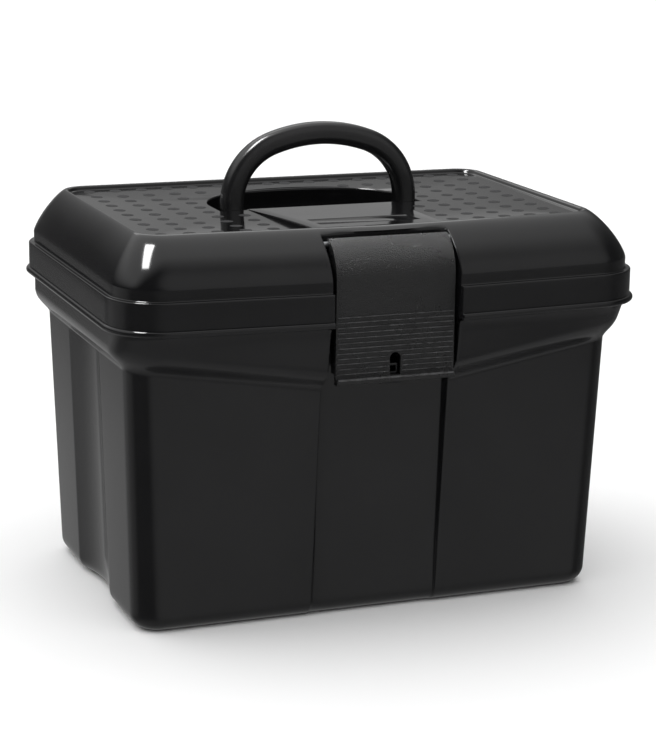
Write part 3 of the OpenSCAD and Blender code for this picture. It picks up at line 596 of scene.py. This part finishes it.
def cupTool():
    wall = lid["wall"]
    low = well["floor"] - wall
    rings = [wellRing(low, wall - 1.5), wellRing(low + 0.5, wall - 0.4), wellRing(low + 1.5, wall),
             wellRing(lid["panelMiddle"] - 0.4, wall)]
    return loft("cupTool", rings, glossyShell, well["middle"])


def wellTool():
    floor, lipR, roll = well["floor"], well["lipR"], well["roll"]
    top = lid["panelMiddle"]
    rollTop = top + well["rollRise"]
    rings = [wellRing(floor, -1.5, -0.6), wellRing(floor + 0.45, -0.45, -0.2), wellRing(floor + 1.5, 0, 0),
             wellRing(top - lipR, 0, 0)]
    for t in quarterTurns(8)[1:]:  # rolled edge, broader between the legs
        z = rollTop - lipR * (1 - math.sin(t))
        side = max(0.0, (z - (rollTop - roll)) / roll)
        flare = roll * (1 - math.sqrt(max(0.0, 1 - side * side)))
        rings.append(wellRing(z, flare, lipR * (1 - math.cos(t))))
    rings.append(wellRing(top + 12, roll, lipR))
    return loft("wellTool", rings, glossyShell, well["middle"])


def crestLineY(x):
    half = skirtHalf - lid["crestIn"]
    return -(skirtDepth - lid["crestInFront"]) - crestBow * (1 - abs(x) / half)


def tongueShare(y):
    return (tongue["back"] - y) / (tongue["back"] - crestLineY(0))


def tongueHalf(t):
    return mix(well["slotHalf"], tongue["half"], math.sin(math.pi / 2 * t))


def tongueZ(t):
    return mix(lid["panelMiddle"] + tongue["rise"], lid["crest"] - 0.01, t)


def tonguePiece():
    rings = []  # cross-sections from the handle well to the crest
    low = lid["panelMiddle"] - tongue["sink"]
    for i in range(tongue["rows"] + 1):
        t = i / tongue["rows"]
        half, top = tongueHalf(t), tongueZ(t)
        edge = min(tongue["edge"], (top - low) * 0.45)
        across = [(-half, low)]
        for a in quarterTurns(4):
            across.append((-half + edge * (1 - math.cos(a)), top - edge * (1 - math.sin(a))))
        corner = across[:]
        across += [(mix(-half + edge, half - edge, k / 12), top) for k in range(1, 12)]
        across += [(-x, z) for x, z in reversed(corner)]
        rings.append([(x, mix(tongue["back"], crestLineY(x) + 0.7, t), z) for x, z in across])
    return skin(rings)


def tongueField():
    rear, front = ((y, tongueZ(tongueShare(y))) for y in (fieldSize["rear"], fieldSize["front"]))
    deep, clear = fieldSize["depth"], 6
    loop = [(rear[0], rear[1] - deep), (rear[0], rear[1] + clear), (front[0], front[1] + clear),
            (front[0], front[1] - deep)]
    return prism(loop, -fieldSize["half"], fieldSize["half"])


combine(lidShell, "UNION", faceOut(makeObject("tongueTool", *tonguePiece(), glossyShell)))
combine(lidShell, "UNION", cupTool())
combine(lidShell, "DIFFERENCE", wellTool())
field = makeObject("fieldTool", *tongueField(), glossyShell)
combine(lidShell, "DIFFERENCE", roundEdges(field, fieldSize["corner"], 60.0))
smooth(lidShell, lid["smoothAngle"])
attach(lidShell, "lid")
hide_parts("lid_shell")
print("lid cut and joined:", len(lidShell.data.polygons), "faces")

# Hinges: lid knuckles between pairs of base knuckles, and bosses round the handle's pins.
hinge = {
    "x": 115.0, "y": 149.0, "z": 220.8, "knuckle": 5.5, "lidWidth": 20.0, "baseWidth": 14.0, "gap": 0.4,
    "webInset": 0.05, "edge": 0.5,
}
bossSize = {"in": 80.0, "out": 87.5, "radius": 7.0}


def knuckle(web, x0, x1):
    inset = hinge["webInset"]
    return [prism(circle(hinge["y"], hinge["z"], hinge["knuckle"]), x0, x1),
            prism(web, x0 + inset, x1 - inset)]


def lidFittings():
    y, z, r = hinge["y"], hinge["z"], hinge["knuckle"]
    wallY = skirtDepth - lid["wall"] / 2
    web = [(wallY, z + 0.6), (y, z + 0.6), (y, z + r), (wallY, z + 2.4 * r)]
    parts = []
    for side in (-1, 1):
        x = side * hinge["x"]
        parts += knuckle(web, x - hinge["lidWidth"] / 2, x + hinge["lidWidth"] / 2)
        boss = circle(handle["y"], handle["pivot"], bossSize["radius"])
        parts.append(prism(boss, *sorted((side * bossSize["in"], side * bossSize["out"]))))
    return gather(parts)


lidHinges = roundedPiece("lidHinges", *lidFittings(), glossyShell, hinge["edge"])
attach(lidHinges, "lid")
print("lid fittings made")


# Lift-out tray: flange, tapered walls, one long wall and guides for the dividers.
tray = {
    "half": 174.0, "rear": 114.0, "front": 101.9, "corner": 20.0, "low": 150.0, "top": 211.0,
    "flangeLow": 208.0, "flangeHalf": 187.5, "flangeRear": 130.0, "flangeFront": 115.4, "flangeCorner": 29.5,
    "wall": 2.2, "draft": 6.0, "edge": 5.0, "dividerX": 62.0, "dividerHalf": 1.2, "guideGap": 0.35,
    "guide": 2.0, "guideHeight": 47.0, "guideTop": 200.0, "wallTop": 204.5, "sink": 0.5, "plainHalf": 29.0,
}
holeSize = {"out": 6.75, "halfX": 3.5, "halfY": 40.0, "low": 205.0, "high": 214.0}
flangeProfile = ((0.0, 1.0), (0.15, 0.4), (0.6, 0.0), (2.2, 0.0), (2.75, 0.3), (3.0, 1.0))  # rise and inset
trayMiddle = (tray["rear"] - tray["front"]) / 2


def trayInset(z):
    return tray["draft"] * (tray["top"] - z) / (tray["top"] - tray["low"])


def trayRing(z, inset):
    return outline(tray["half"] - inset, tray["rear"] - inset, tray["front"] - inset, 0.0,
                   max(tray["corner"] - inset, 3.0), z, 0.0, tray["plainHalf"])


def flangeRing(z, inset):
    return outline(tray["flangeHalf"] - inset, tray["flangeRear"] - inset,
                   tray["flangeFront"] - inset, 0.0, tray["flangeCorner"] - inset, z, 0.0,
                   tray["plainHalf"])


def trayFoot(low, extra):
    edge, rings = tray["edge"], []
    for t in quarterTurns(6):
        z = low + edge * (1 - math.cos(t))
        rings.append(trayRing(z, trayInset(z) + extra + edge * (1 - math.sin(t))))
    return [trayRing(low, tray["draft"] + extra + edge + 4)] + rings


def trayRings():
    low, wall, top, flange = tray["low"], tray["wall"], tray["top"], tray["flangeLow"]
    inside = low + wall
    rings = trayFoot(low, 0.0)
    rings += [trayRing(z, trayInset(z)) for z in (low + 8, low + 25, low + 45, flange - 1)]
    rings.append(trayRing(flange, trayInset(flange) - 0.6))
    rings += [flangeRing(flange + rise, inset) for rise, inset in flangeProfile]
    for z, inset in ((top, -1.0), (top, 0.6), (top - 0.3, 1.5), (top - 1.0, wall + trayInset(top - 1.0))):
        rings.append(trayRing(z, inset))
    for z in (top - 4, low + 45, low + 25, inside + tray["edge"] + 1):
        rings.append(trayRing(z, trayInset(z) + wall))
    return rings + trayFoot(inside, wall)[::-1]


def roundedSlot(x, y, size):
    loop, steps = [], 12
    for end, start in ((1, 0), (-1, 180)):
        for k in range(steps + 1):
            t = math.radians(start + 180 * k / steps)
            middle = y + end * (size["halfY"] - size["halfX"])
            loop.append((x + size["halfX"] * math.cos(t), middle + size["halfX"] * math.sin(t)))
    return skin([[(px, py, z) for px, py in loop] for z in (size["low"], size["high"])])


liftOutTray = loft("liftOutTray", trayRings(), satinTray, box["middle"])
for side in (-1, 1):
    hole = roundedSlot(side * (tray["half"] + holeSize["out"]), trayMiddle, holeSize)
    combine(liftOutTray, "DIFFERENCE", faceOut(makeObject("holeTool", *hole, satinTray)))
smooth(liftOutTray, 35.0)
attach(liftOutTray, "tray")
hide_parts("lift_out_tray")


def trayWalls():
    wall, sink, guide, top = tray["wall"], tray["sink"], tray["guide"], tray["guideTop"]
    wallY, inside = trayMiddle - wall / 2, tray["low"] + wall
    half = tray["half"] - tray["draft"]
    low, high = tray["low"] + sink, tray["wallTop"]
    parts = [prism([(wallY, low), (wallY + wall, low), (wallY + wall, high), (wallY, high)], -half, half)]
    frontLow, frontHigh = (-tray["front"] + trayInset(z) + wall for z in (inside, top))
    rear = [(wallY - guide, inside - sink), (wallY + sink, inside - sink),
            (wallY + sink, inside + tray["guideHeight"]), (wallY - guide, inside + tray["guideHeight"])]
    front = [(frontLow - sink, inside - sink), (frontLow + guide, inside - sink), (frontHigh + guide, top),
             (frontHigh - sink, top)]
    offset = tray["dividerHalf"] + tray["guideGap"] + guide / 2
    for side in (-1, 1):
        for face in (-1, 1):
            x = side * tray["dividerX"] + face * offset
            parts += [prism(loop, x - guide / 2, x + guide / 2) for loop in (rear, front)]
    return gather(parts)


walls = roundedPiece("trayWalls", *trayWalls(), satinTray, 0.4)
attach(walls, "tray")
print("tray made")

# Base tub: straight tapered walls, a crease that drops to the middle of the front, a shoulder and a collar.
# Its front panel is shallower at the foot than in the CAD.
base = {
    "wall": 3.0, "rimInset": 6.5, "crease": 190.0, "creaseDrop": 27.0, "creaseBow": 14.0, "creaseBend": 8.0,
    "shoulder": 18.5, "shoulderSide": 10.0, "shoulderFront": 21.5, "shoulderRear": 17.0, "corner": 20.0,
    "draftSide": 6.2, "draftFront": 4.5, "draftRear": 6.0, "floor": 3.5, "floorEdge": 12.0,
    "fluteDepth": 6.0, "panelHalf": 48.0, "panelDepth": 1.2, "panelLean": 0.0509, "soft": 0.9,
    "softFoot": 0.8,
}
wallShares = (0.02, 0.12, 0.25, 0.4, 0.55, 0.7, 0.82, 0.91, 0.965, 0.988, 1.0)
innerShares = (1.0, 0.95, 0.8, 0.6, 0.4, 0.2, 0.05)
shoulderHeights = (0.0, 0.4, 1.0, 1.8, 2.8, 4.0, 5.5, 7.0, 9.0, 11.0, 13.0, 15.0, 17.0, 18.5)
innerHeights = (18.5, 15.0, 11.0, 8.0, 5.5, 3.0, 1.0, 0.0)
rimProfile = ((0.0, 1.2), (0.2, 0.4), (0.7, 0.0), (2.3, 0.0), (2.8, 0.4), (3.0, 1.2))  # inset and depth
rimHalf = box["width"] / 2 - base["rimInset"]
rimDepth = box["depth"] / 2 - base["rimInset"]
rimCorner = box["beadCorner"] - base["rimInset"]
creaseHalf = rimHalf - base["shoulderSide"]
creaseRear = rimDepth - base["shoulderRear"]
creaseFront = rimDepth - base["shoulderFront"]
collarTop = box["skirt"] - 1.5
rimNotch = pocketSize["half"] + lid["wall"] + 1.0
wallTop = base["crease"] - 0.9


def recessY(z):
    return -(creaseFront - base["draftFront"] - base["panelDepth"] + base["panelLean"] * z)


def sideShare(h):
    return math.cos(math.pi / 2 * min(h / base["shoulder"], 1.0) ** 0.8) ** 2.5


def frontShare(h):
    span, bend = collarTop - base["crease"], base["creaseBend"]  # the crease turns over the bend's height
    lean = h * h / (2 * bend) if h < bend else h - bend / 2
    return mix(max(0.0, 1 - lean / (span - bend / 2)), sideShare(h), 0.25)


def bodyRing(z, inset, flute, drop, notchInset, soft):
    size = base
    t = min(z / size["crease"], 1.0)
    return outline(creaseHalf - size["draftSide"] * (1 - t) - inset,
                   creaseRear - size["draftRear"] * (1 - t) - inset,
                   creaseFront - size["draftFront"] * (1 - t) - inset, size["creaseBow"] * t,
                   max(size["corner"] - inset, 4.0), z, drop, size["panelHalf"] + notchInset,
                   recessY(z - drop) + inset, size["fluteDepth"] * flute, soft)


def collarRing(z, inset, drop, notchHalf):
    side, front = sideShare(z - base["crease"]), frontShare(z - base["crease"])
    return outline(rimHalf - base["shoulderSide"] * side - inset,
                   rimDepth - base["shoulderRear"] * side - inset,
                   rimDepth - base["shoulderFront"] * front - inset,
                   mix(box["frontBow"], base["creaseBow"], front),
                   mix(rimCorner, base["corner"], side) - inset, z, drop, notchHalf,
                   recessY(z - drop) + inset, 0.0, base["soft"])


def tubFoot(low, radius, inset, steps):
    rings = []  # rounded edge round the floor
    for t in quarterTurns(steps):
        rings.append(bodyRing(low + radius * (1 - math.cos(t)), inset + radius * (1 - math.sin(t)), 1.0, 0.0,
                              inset, base["softFoot"]))
    return [bodyRing(low, inset + radius + 5, 1.0, 0.0, inset, base["softFoot"])] + rings


def tubRings():
    drop, crease, edge, wall = (base[key] for key in ("creaseDrop", "crease", "floorEdge", "wall"))
    soft, panel = base["soft"], base["panelHalf"]
    rings = tubFoot(0.0, edge, 0.0, 9)
    rings += [bodyRing(mix(edge, wallTop, t), 0.0, 1.0, drop * t, 0.0, soft) for t in wallShares]
    for below, flute in ((0.5, 0.8), (0.2, 0.15)):  # the flutes run out
        rings.append(bodyRing(crease - below, 0.0, flute, drop, 0.0, soft))
    rings += [collarRing(crease + h, 0.0, drop, panel) for h in shoulderHeights]
    for t in (0.12, 0.4, 0.7, 1.0):  # the drop runs out up the collar
        z = mix(crease + base["shoulder"], collarTop - 3, t)
        rings.append(collarRing(z, 0.0, drop * (1 - t), panel))
    rings.append(collarRing(collarTop, 0.0, 0.0, panel))
    rings.append(collarRing(collarTop + 0.5, 0.0, 0.0, rimNotch))
    for inset, below in rimProfile:
        rings.append(collarRing(box["rim"] - below, inset, 0.0, rimNotch + inset))
    rings.append(collarRing(collarTop + 0.5, wall, 0.0, rimNotch + wall))
    rings += [collarRing(z, wall, 0.0, panel + wall) for z in (collarTop, collarTop - 3)]
    rings += [collarRing(crease + h, wall, drop, panel + wall) for h in innerHeights]
    rings.append(bodyRing(crease - 0.3, wall, 0.3, drop, wall, soft))
    for t in innerShares:
        rings.append(bodyRing(mix(edge, wallTop, t), wall, 1.0, drop * t, wall, base["softFoot"]))
    return rings + tubFoot(base["floor"], edge - wall, wall, 6)[::-1]


tub = smooth(loft("baseTub", tubRings(), glossyShell, box["middle"]), 30.0)
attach(tub, "base")
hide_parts("base_shell")
print("base tub made:", len(tub.data.polygons), "faces")


def baseFittings():
    y, z, r = hinge["y"], hinge["z"], hinge["knuckle"]
    wallY, top, lean = rimDepth - 1.5, box["skirt"] - 0.7, math.radians(40)
    web = [(wallY, z - 3 * r), (rimDepth + 1, z - 3 * r), (y + r * math.cos(lean), z - r * math.sin(lean)),
           (y - r * math.cos(lean), top), (wallY, top)]
    parts = []
    for side in (-1, 1):
        for end in (-1, 1):
            near = side * hinge["x"] + end * (hinge["lidWidth"] / 2 + hinge["gap"])
            parts += knuckle(web, *sorted((near, near + end * hinge["baseWidth"])))
    return gather(parts)


baseHinges = roundedPiece("baseHinges", *baseFittings(), glossyShell, hinge["edge"])
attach(baseHinges, "base")

# Four rests under the tray's flange, and the block on the front wall that carries the catch.
restSize = {
    "inset": 5.0, "sink": 1.5, "gap": 0.3, "spread": 32.0, "footIn": 3.0, "footOut": 13.5, "half": 2.0,
}
seatSize = {"half": 11.5, "above": 4.5, "below": 3.5, "proud": 0.8, "sink": 1.5}


def trayRests():
    inner, outer = tray["flangeHalf"] - restSize["inset"], rimHalf - restSize["sink"]
    top, crease, half = tray["flangeLow"] - restSize["gap"], base["crease"], restSize["half"]
    loop = [(inner, top), (inner, crease + restSize["footIn"]), (outer, crease + restSize["footOut"]),
            (outer, top)]
    parts = []
    for side in (-1, 1):
        for end in (-1, 1):
            y = box["middle"] + end * (box["fluteWidth"] / 2 + restSize["spread"])
            parts.append(skin([[(side * x, py, z) for x, z in loop] for py in (y - half, y + half)]))
    low, high = latch["low"] - seatSize["below"], latch["low"] + seatSize["above"]
    face, back = recessY(high) - seatSize["proud"], recessY(low) + seatSize["sink"]
    seat = [(face, low), (face, high), (back, high), (back, low)]
    return gather(parts + [prism(seat, -seatSize["half"], seatSize["half"])])


baseRibs = roundedPiece("baseRibs", *trayRests(), glossyShell, 0.5)
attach(baseRibs, "base")
print("base fittings made")


# Small CAD pieces keep their shape and get softened edges.
def softened(node, name, material, width):
    piece = bpy.data.objects.new(name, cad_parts[node].data.copy())
    bpy.context.scene.collection.objects.link(piece)
    piece.data.materials.clear()
    piece.data.materials.append(material)
    shape = bmesh.new()
    shape.from_mesh(piece.data)
    bmesh.ops.remove_doubles(shape, verts=shape.verts, dist=1e-6)
    bmesh.ops.dissolve_limit(shape, angle_limit=math.radians(1.0), verts=shape.verts, edges=shape.edges)
    shape.to_mesh(piece.data)
    shape.free()
    smooth(roundEdges(piece, width, 40.0, 2), 40.0)
    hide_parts(node)
    return piece


catch = softened("latch_catch", "latchCatch", glossyShell, 0.3)
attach(catch, "base")
for side in ("left", "right"):
    divider = softened("tray_divider_" + side, "trayDivider" + side.capitalize(), satinTray, 0.4)
    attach(divider, "tray")
for node, material in (("latch_pin", steelRod), ("hinge_pin_left", steelRod), ("hinge_pin_right", steelRod),
                       ("handle_pin_left", satinGrip), ("handle_pin_right", satinGrip)):
    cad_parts[node].data.materials.clear()  # pins keep their CAD shape
    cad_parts[node].data.materials.append(material)
print("catch and dividers softened, pins finished")


# Geometry Nodes for what repeats: spots on the panel and ribs on the latch.
def newTree(name, inputs):
    tree = bpy.data.node_groups.new(name, "GeometryNodeTree")
    tree.interface.new_socket(name="Geometry", in_out="INPUT", socket_type="NodeSocketGeometry")
    for label, kind in inputs:
        tree.interface.new_socket(name=label, in_out="INPUT", socket_type=kind)
    tree.interface.new_socket(name="Geometry", in_out="OUTPUT", socket_type="NodeSocketGeometry")
    return tree


def grow(piece, tree, values):
    step = piece.modifiers.new("grow", "NODES")
    step.node_group = tree
    for item in tree.interface.items_tree:
        if item.item_type == "SOCKET" and item.in_out == "INPUT" and item.name in values:
            step[item.identifier] = values[item.name]
    bpy.context.view_layer.update()
    return bake(piece)


# The copies of a shape are made real, get their finish and leave the tree.
def endTree(tree, given, places):
    copies = addNode(tree, "GeometryNodeInstanceOnPoints", places)
    real = addNode(tree, "GeometryNodeRealizeInstances", {"Geometry": copies.outputs["Instances"]})
    finish = addNode(tree, "GeometryNodeSetMaterial", {
        "Geometry": real.outputs["Geometry"], "Material": given.outputs["Finish"]})
    addNode(tree, "NodeGroupOutput", {"Geometry": finish.outputs["Geometry"]})
    return tree


spotSize = {
    "pitch": 20.5, "diameter": 9.0, "height": 0.2, "firstX": 150.5, "middleY": 21.0, "columns": 8,
    "rowsFront": 5, "rowsRear": 4, "wellMargin": 6.5, "tongueMargin": 6.0, "start": 290.0, "sides": 28,
}


def spotTree():
    tree = newTree("panelSpots", [("Spot diameter", "NodeSocketFloat"), ("Spot height", "NodeSocketFloat"),
                                  ("Panel", "NodeSocketObject"), ("Finish", "NodeSocketMaterial")])
    given = addNode(tree, "NodeGroupInput")
    panel = addNode(tree, "GeometryNodeObjectInfo", {"Object": given.outputs["Panel"]},
                    transform_space="RELATIVE")
    place = addNode(tree, "GeometryNodeInputPosition")
    above = addNode(tree, "ShaderNodeVectorMath", {0: place.outputs["Position"], 1: (0.0, 0.0, 0.05)},
                    operation="ADD")
    ray = addNode(tree, "GeometryNodeRaycast", {
        "Target Geometry": panel.outputs["Geometry"], "Source Position": above.outputs["Vector"],
        "Ray Direction": (0.0, 0.0, -1.0), "Ray Length": 0.3})
    settle = addNode(tree, "GeometryNodeSetPosition", {
        "Geometry": given.outputs["Geometry"], "Position": ray.outputs["Hit Position"]})
    radius = addNode(tree, "ShaderNodeMath", {0: given.outputs["Spot diameter"], 1: 0.5},
                     operation="MULTIPLY")
    spot = addNode(tree, "GeometryNodeMeshCylinder", {
        "Vertices": spotSize["sides"], "Radius": radius.outputs["Value"],
        "Depth": given.outputs["Spot height"]})
    turn = addNode(tree, "FunctionNodeAlignRotationToVector", {"Vector": ray.outputs["Hit Normal"]},
                   axis="Z")
    return endTree(tree, given, {"Points": settle.outputs["Geometry"], "Instance": spot.outputs["Mesh"],
                                 "Rotation": turn.outputs["Rotation"]})


def isClear(x, y):
    bendY, crownY = handle["y"] + legHeight, handle["y"] + crownZ
    reach = handle["gripWidth"] / 2 + well["gap"] + spotSize["wellMargin"]
    outer, crown = handle["bend"] + reach, crownR + reach
    t = min(1, max(0, tongueShare(y)))
    onTongue = y < 2 and abs(x) < tongueHalf(t) + spotSize["tongueMargin"]
    inBends = abs(x) < bendX + outer and -11 < y <= bendY
    inArcs = y > bendY and (math.hypot(abs(x) - bendX, y - bendY) < outer if abs(x) > bendX
                            else math.hypot(x, y - crownY) < crown)
    return not (onTongue or inBends or inArcs)


def spotPlaces():
    places = []
    for row in range(-spotSize["rowsFront"], spotSize["rowsRear"] + 1):
        y = spotSize["middleY"] + row * spotSize["pitch"]
        for column in range(spotSize["columns"]):
            x = -spotSize["firstX"] + column * spotSize["pitch"]
            if isClear(x, y):
                places += [(x, y, spotSize["start"]), (-x, y, spotSize["start"])]
    return places


spots = makeObject("panelSpots", spotPlaces(), [], mattSpot)
grow(spots, spotTree(), {"Spot diameter": spotSize["diameter"] * mm, "Spot height": spotSize["height"] * mm,
                         "Panel": lidShell, "Finish": mattSpot})
smooth(spots, 30.0)
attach(spots, "lid")
print("panel spots grown:", len(spots.data.polygons), "faces")

ribSize = {
    "count": 12, "first": 226.1, "last": 186.1, "halfWidth": 0.38, "depth": 0.5, "margin": 1.0,
    "slotMargin": 0.8, "lipBulk": 2.4, "lipIn": 1.0, "lipDown": 0.6, "sides": 10,
}


def ribTree():
    tree = newTree("latchRibs", [("Rib width", "NodeSocketFloat"), ("Rib depth", "NodeSocketFloat"),
                                 ("Finish", "NodeSocketMaterial")])
    given = addNode(tree, "NodeGroupInput")
    span = addNode(tree, "GeometryNodeInputNamedAttribute", {"Name": "span"}, data_type="FLOAT")
    bulk = addNode(tree, "GeometryNodeInputNamedAttribute", {"Name": "bulk"}, data_type="FLOAT")
    deep, wide = (addNode(tree, "ShaderNodeMath", {0: given.outputs[label], 1: bulk.outputs["Attribute"]},
                          operation="MULTIPLY") for label in ("Rib depth", "Rib width"))
    size = addNode(tree, "ShaderNodeCombineXYZ", {
        "X": span.outputs["Attribute"], "Y": deep.outputs["Value"], "Z": wide.outputs["Value"]})
    rib = addNode(tree, "GeometryNodeMeshCylinder", {
        "Vertices": ribSize["sides"], "Radius": 1.0, "Depth": 2.0})
    lay = addNode(tree, "GeometryNodeTransform", {
        "Geometry": rib.outputs["Mesh"], "Rotation": (0.0, math.pi / 2, 0.0)})
    return endTree(tree, given, {"Points": given.outputs["Geometry"], "Instance": lay.outputs["Geometry"],
                                 "Scale": size.outputs["Vector"]})


def ribPlaces():
    half, inner = latch["half"] - ribSize["margin"], latch["slotHalf"] + ribSize["slotMargin"]
    lipY = latch["face"] - latch["lipOut"] + ribSize["lipIn"]
    lipZ = latch["low"] + latch["lipHeight"] - ribSize["lipDown"]
    places, spans = [(0.0, lipY, lipZ)], [half * mm]  # the lip's line comes first, a strip that carries the painted highlight
    for k in range(ribSize["count"]):
        z = mix(ribSize["first"], ribSize["last"], k / (ribSize["count"] - 1))
        if z > latch["slotHigh"] + 1:
            places.append((0.0, latch["face"], z))
            spans.append(half * mm)
        else:  # in two parts beside the slot
            places += [(side * (inner + half) / 2, latch["face"], z) for side in (-1, 1)]
            spans += [(half - inner) / 2 * mm] * 2
    return places, spans, [ribSize["lipBulk"]] + [1.0] * (len(places) - 1)


ribPoints, ribSpans, ribBulks = ribPlaces()
# The ribs and the lip strip take the paler colour, a painted highlight along them.
ribs = makeObject("latchRibs", ribPoints, [], paintedRibHighlight)
ribs.data.attributes.new("span", "FLOAT", "POINT").data.foreach_set("value", ribSpans)
ribs.data.attributes.new("bulk", "FLOAT", "POINT").data.foreach_set("value", ribBulks)
grow(ribs, ribTree(), {"Rib width": ribSize["halfWidth"] * mm, "Rib depth": ribSize["depth"] * mm,
                       "Finish": paintedRibHighlight})
smooth(ribs, 50.0)
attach(ribs, "latch")
print("latch ribs grown:", len(ribs.data.polygons), "faces")


# Studio: a white floor under an even soft sky, and a grey tent with soft boxes for the gloss to mirror.
studio = {
    "floorHalf": 30000.0, "floorDrop": 0.3, "floorColour": "#f6f6f6", "floorRough": 0.9, "room": 0.06,
    "sky": {"strength": 2.2, "angle": 100.0, "from": (-0.2, -0.1, 0.95)},
    "key": {"place": (-0.656, 0.139, 1.77), "aim": (-0.656, 0.139, 0.0), "turn": -39.4,
            "size": (0.375, 0.98), "power": 29.0},
    "rear": {"place": (0.41, 2.0, 1.58), "aim": (-0.1, -0.13, 0.25), "turn": 0.0, "size": (1.6, 0.5),
             "power": 2.0},
}
up, down = (0.0, 0.0, 1.0), (0.0, 0.0, -1.0)
ahead = ((0.25, -0.97, 0.0), 0.62, 0.97)
# The tent: each entry is a level, then ramps of direction, start and end that multiply it.
tent = [
    (0.06, [(down, -0.05, 0.1)]),  # the floor's grey
    (0.18, [(down, 0.45, 0.8)]),  # underfoot
    (0.12, [ahead, (down, -0.35, -0.1)]),  # in front of the box
    (0.2, [ahead, (down, 0.2, 0.34)]),  # the floor in front of it
    (0.25, [((-0.25, 0.97, 0.0), 0.6, 0.95), (down, 0.17, 0.3)]),  # the floor behind it
    (0.25, [((-0.9, 0.42, 0.0), 0.8, 0.98), (down, -0.05, 0.1)]),  # the floor on its left
    (0.36, [((0.2, 0.98, 0.0), 0.88, 0.985), (down, -0.42, -0.02), (up, -0.05, 0.05)]),  # a low cove behind
    (0.95, [((0.0, 1.0, 0.0), -0.45, -0.02), (up, 0.12, 0.62), ((-1.0, 0.0, 0.0), -0.9, -0.3)]),  # ceiling
    (0.45, [((0.34, -0.757, 0.559), 0.7, 1.0)]),  # a weak wide fill in front
]


def areaLight(name, spec):
    lamp = bpy.data.lights.new(name, "AREA")
    lamp.shape = "RECTANGLE"
    lamp.size, lamp.size_y = spec["size"]
    lamp.energy = spec["power"]
    holder = bpy.data.objects.new(name, lamp)
    bpy.context.scene.collection.objects.link(holder)
    holder.location = spec["place"]
    aim = (Vector(spec["aim"]) - Vector(spec["place"])).to_track_quat("-Z", "Y")
    holder.rotation_euler = (aim @ Quaternion((0, 0, 1), math.radians(spec["turn"]))).to_euler()
    holder.visible_diffuse = False  # only the gloss sees it, so the floor stays even


def whiteFloor():
    material = newMaterial("paperSweepWhite")  # matt white paper
    shader = addNode(material.node_tree, "ShaderNodeBsdfPrincipled", {
        "Base Color": linear(studio["floorColour"]), "Roughness": studio["floorRough"]})
    addNode(material.node_tree, "ShaderNodeOutputMaterial", {"Surface": shader.outputs["BSDF"]})
    half, z = studio["floorHalf"], -studio["floorDrop"]
    corners = [(-half, -half, z), (half, -half, z), (half, half, z), (-half, half, z)]
    floor = makeObject("studioFloor", corners, [(0, 1, 2, 3)], material)
    floor.visible_glossy = False  # the gloss mirrors the tent's grey instead


def studioRoom():
    world = bpy.data.worlds.new("studioRoom")
    world.use_nodes = True
    tree = world.node_tree
    tree.nodes.clear()
    place = addNode(tree, "ShaderNodeTexCoord").outputs["Generated"]
    light = studio["room"]
    for share, ramps in tent:
        for direction, start, end in ramps:
            along = addNode(tree, "ShaderNodeVectorMath", {0: place, 1: direction}, operation="DOT_PRODUCT")
            ramp = addNode(tree, "ShaderNodeMapRange", {
                "Value": along.outputs["Value"], "From Min": start, "From Max": end},
                interpolation_type="SMOOTHSTEP")
            share = addNode(tree, "ShaderNodeMath", {0: ramp.outputs["Result"], 1: share},
                            operation="MULTIPLY").outputs["Value"]
        light = addNode(tree, "ShaderNodeMath", {0: share, 1: light}, operation="ADD").outputs["Value"]
    glow = addNode(tree, "ShaderNodeBackground", {"Color": (1.0, 1.0, 1.0, 1.0), "Strength": light})
    addNode(tree, "ShaderNodeOutputWorld", {"Surface": glow.outputs["Background"]})
    bpy.context.scene.world = world


def softSky(spec):
    sky = bpy.data.lights.new("softSky", "SUN")
    sky.energy = spec["strength"]
    sky.angle = math.radians(spec["angle"])
    holder = bpy.data.objects.new("softSky", sky)
    holder.rotation_euler = Vector(spec["from"]).to_track_quat("Z", "Y").to_euler()
    holder.visible_glossy = False  # lights the floor and the flats, and isn't mirrored
    bpy.context.scene.collection.objects.link(holder)


whiteFloor()
studioRoom()
softSky(studio["sky"])
for name in ("key", "rear"):
    areaLight(name + "Light", studio[name])
print("studio set")
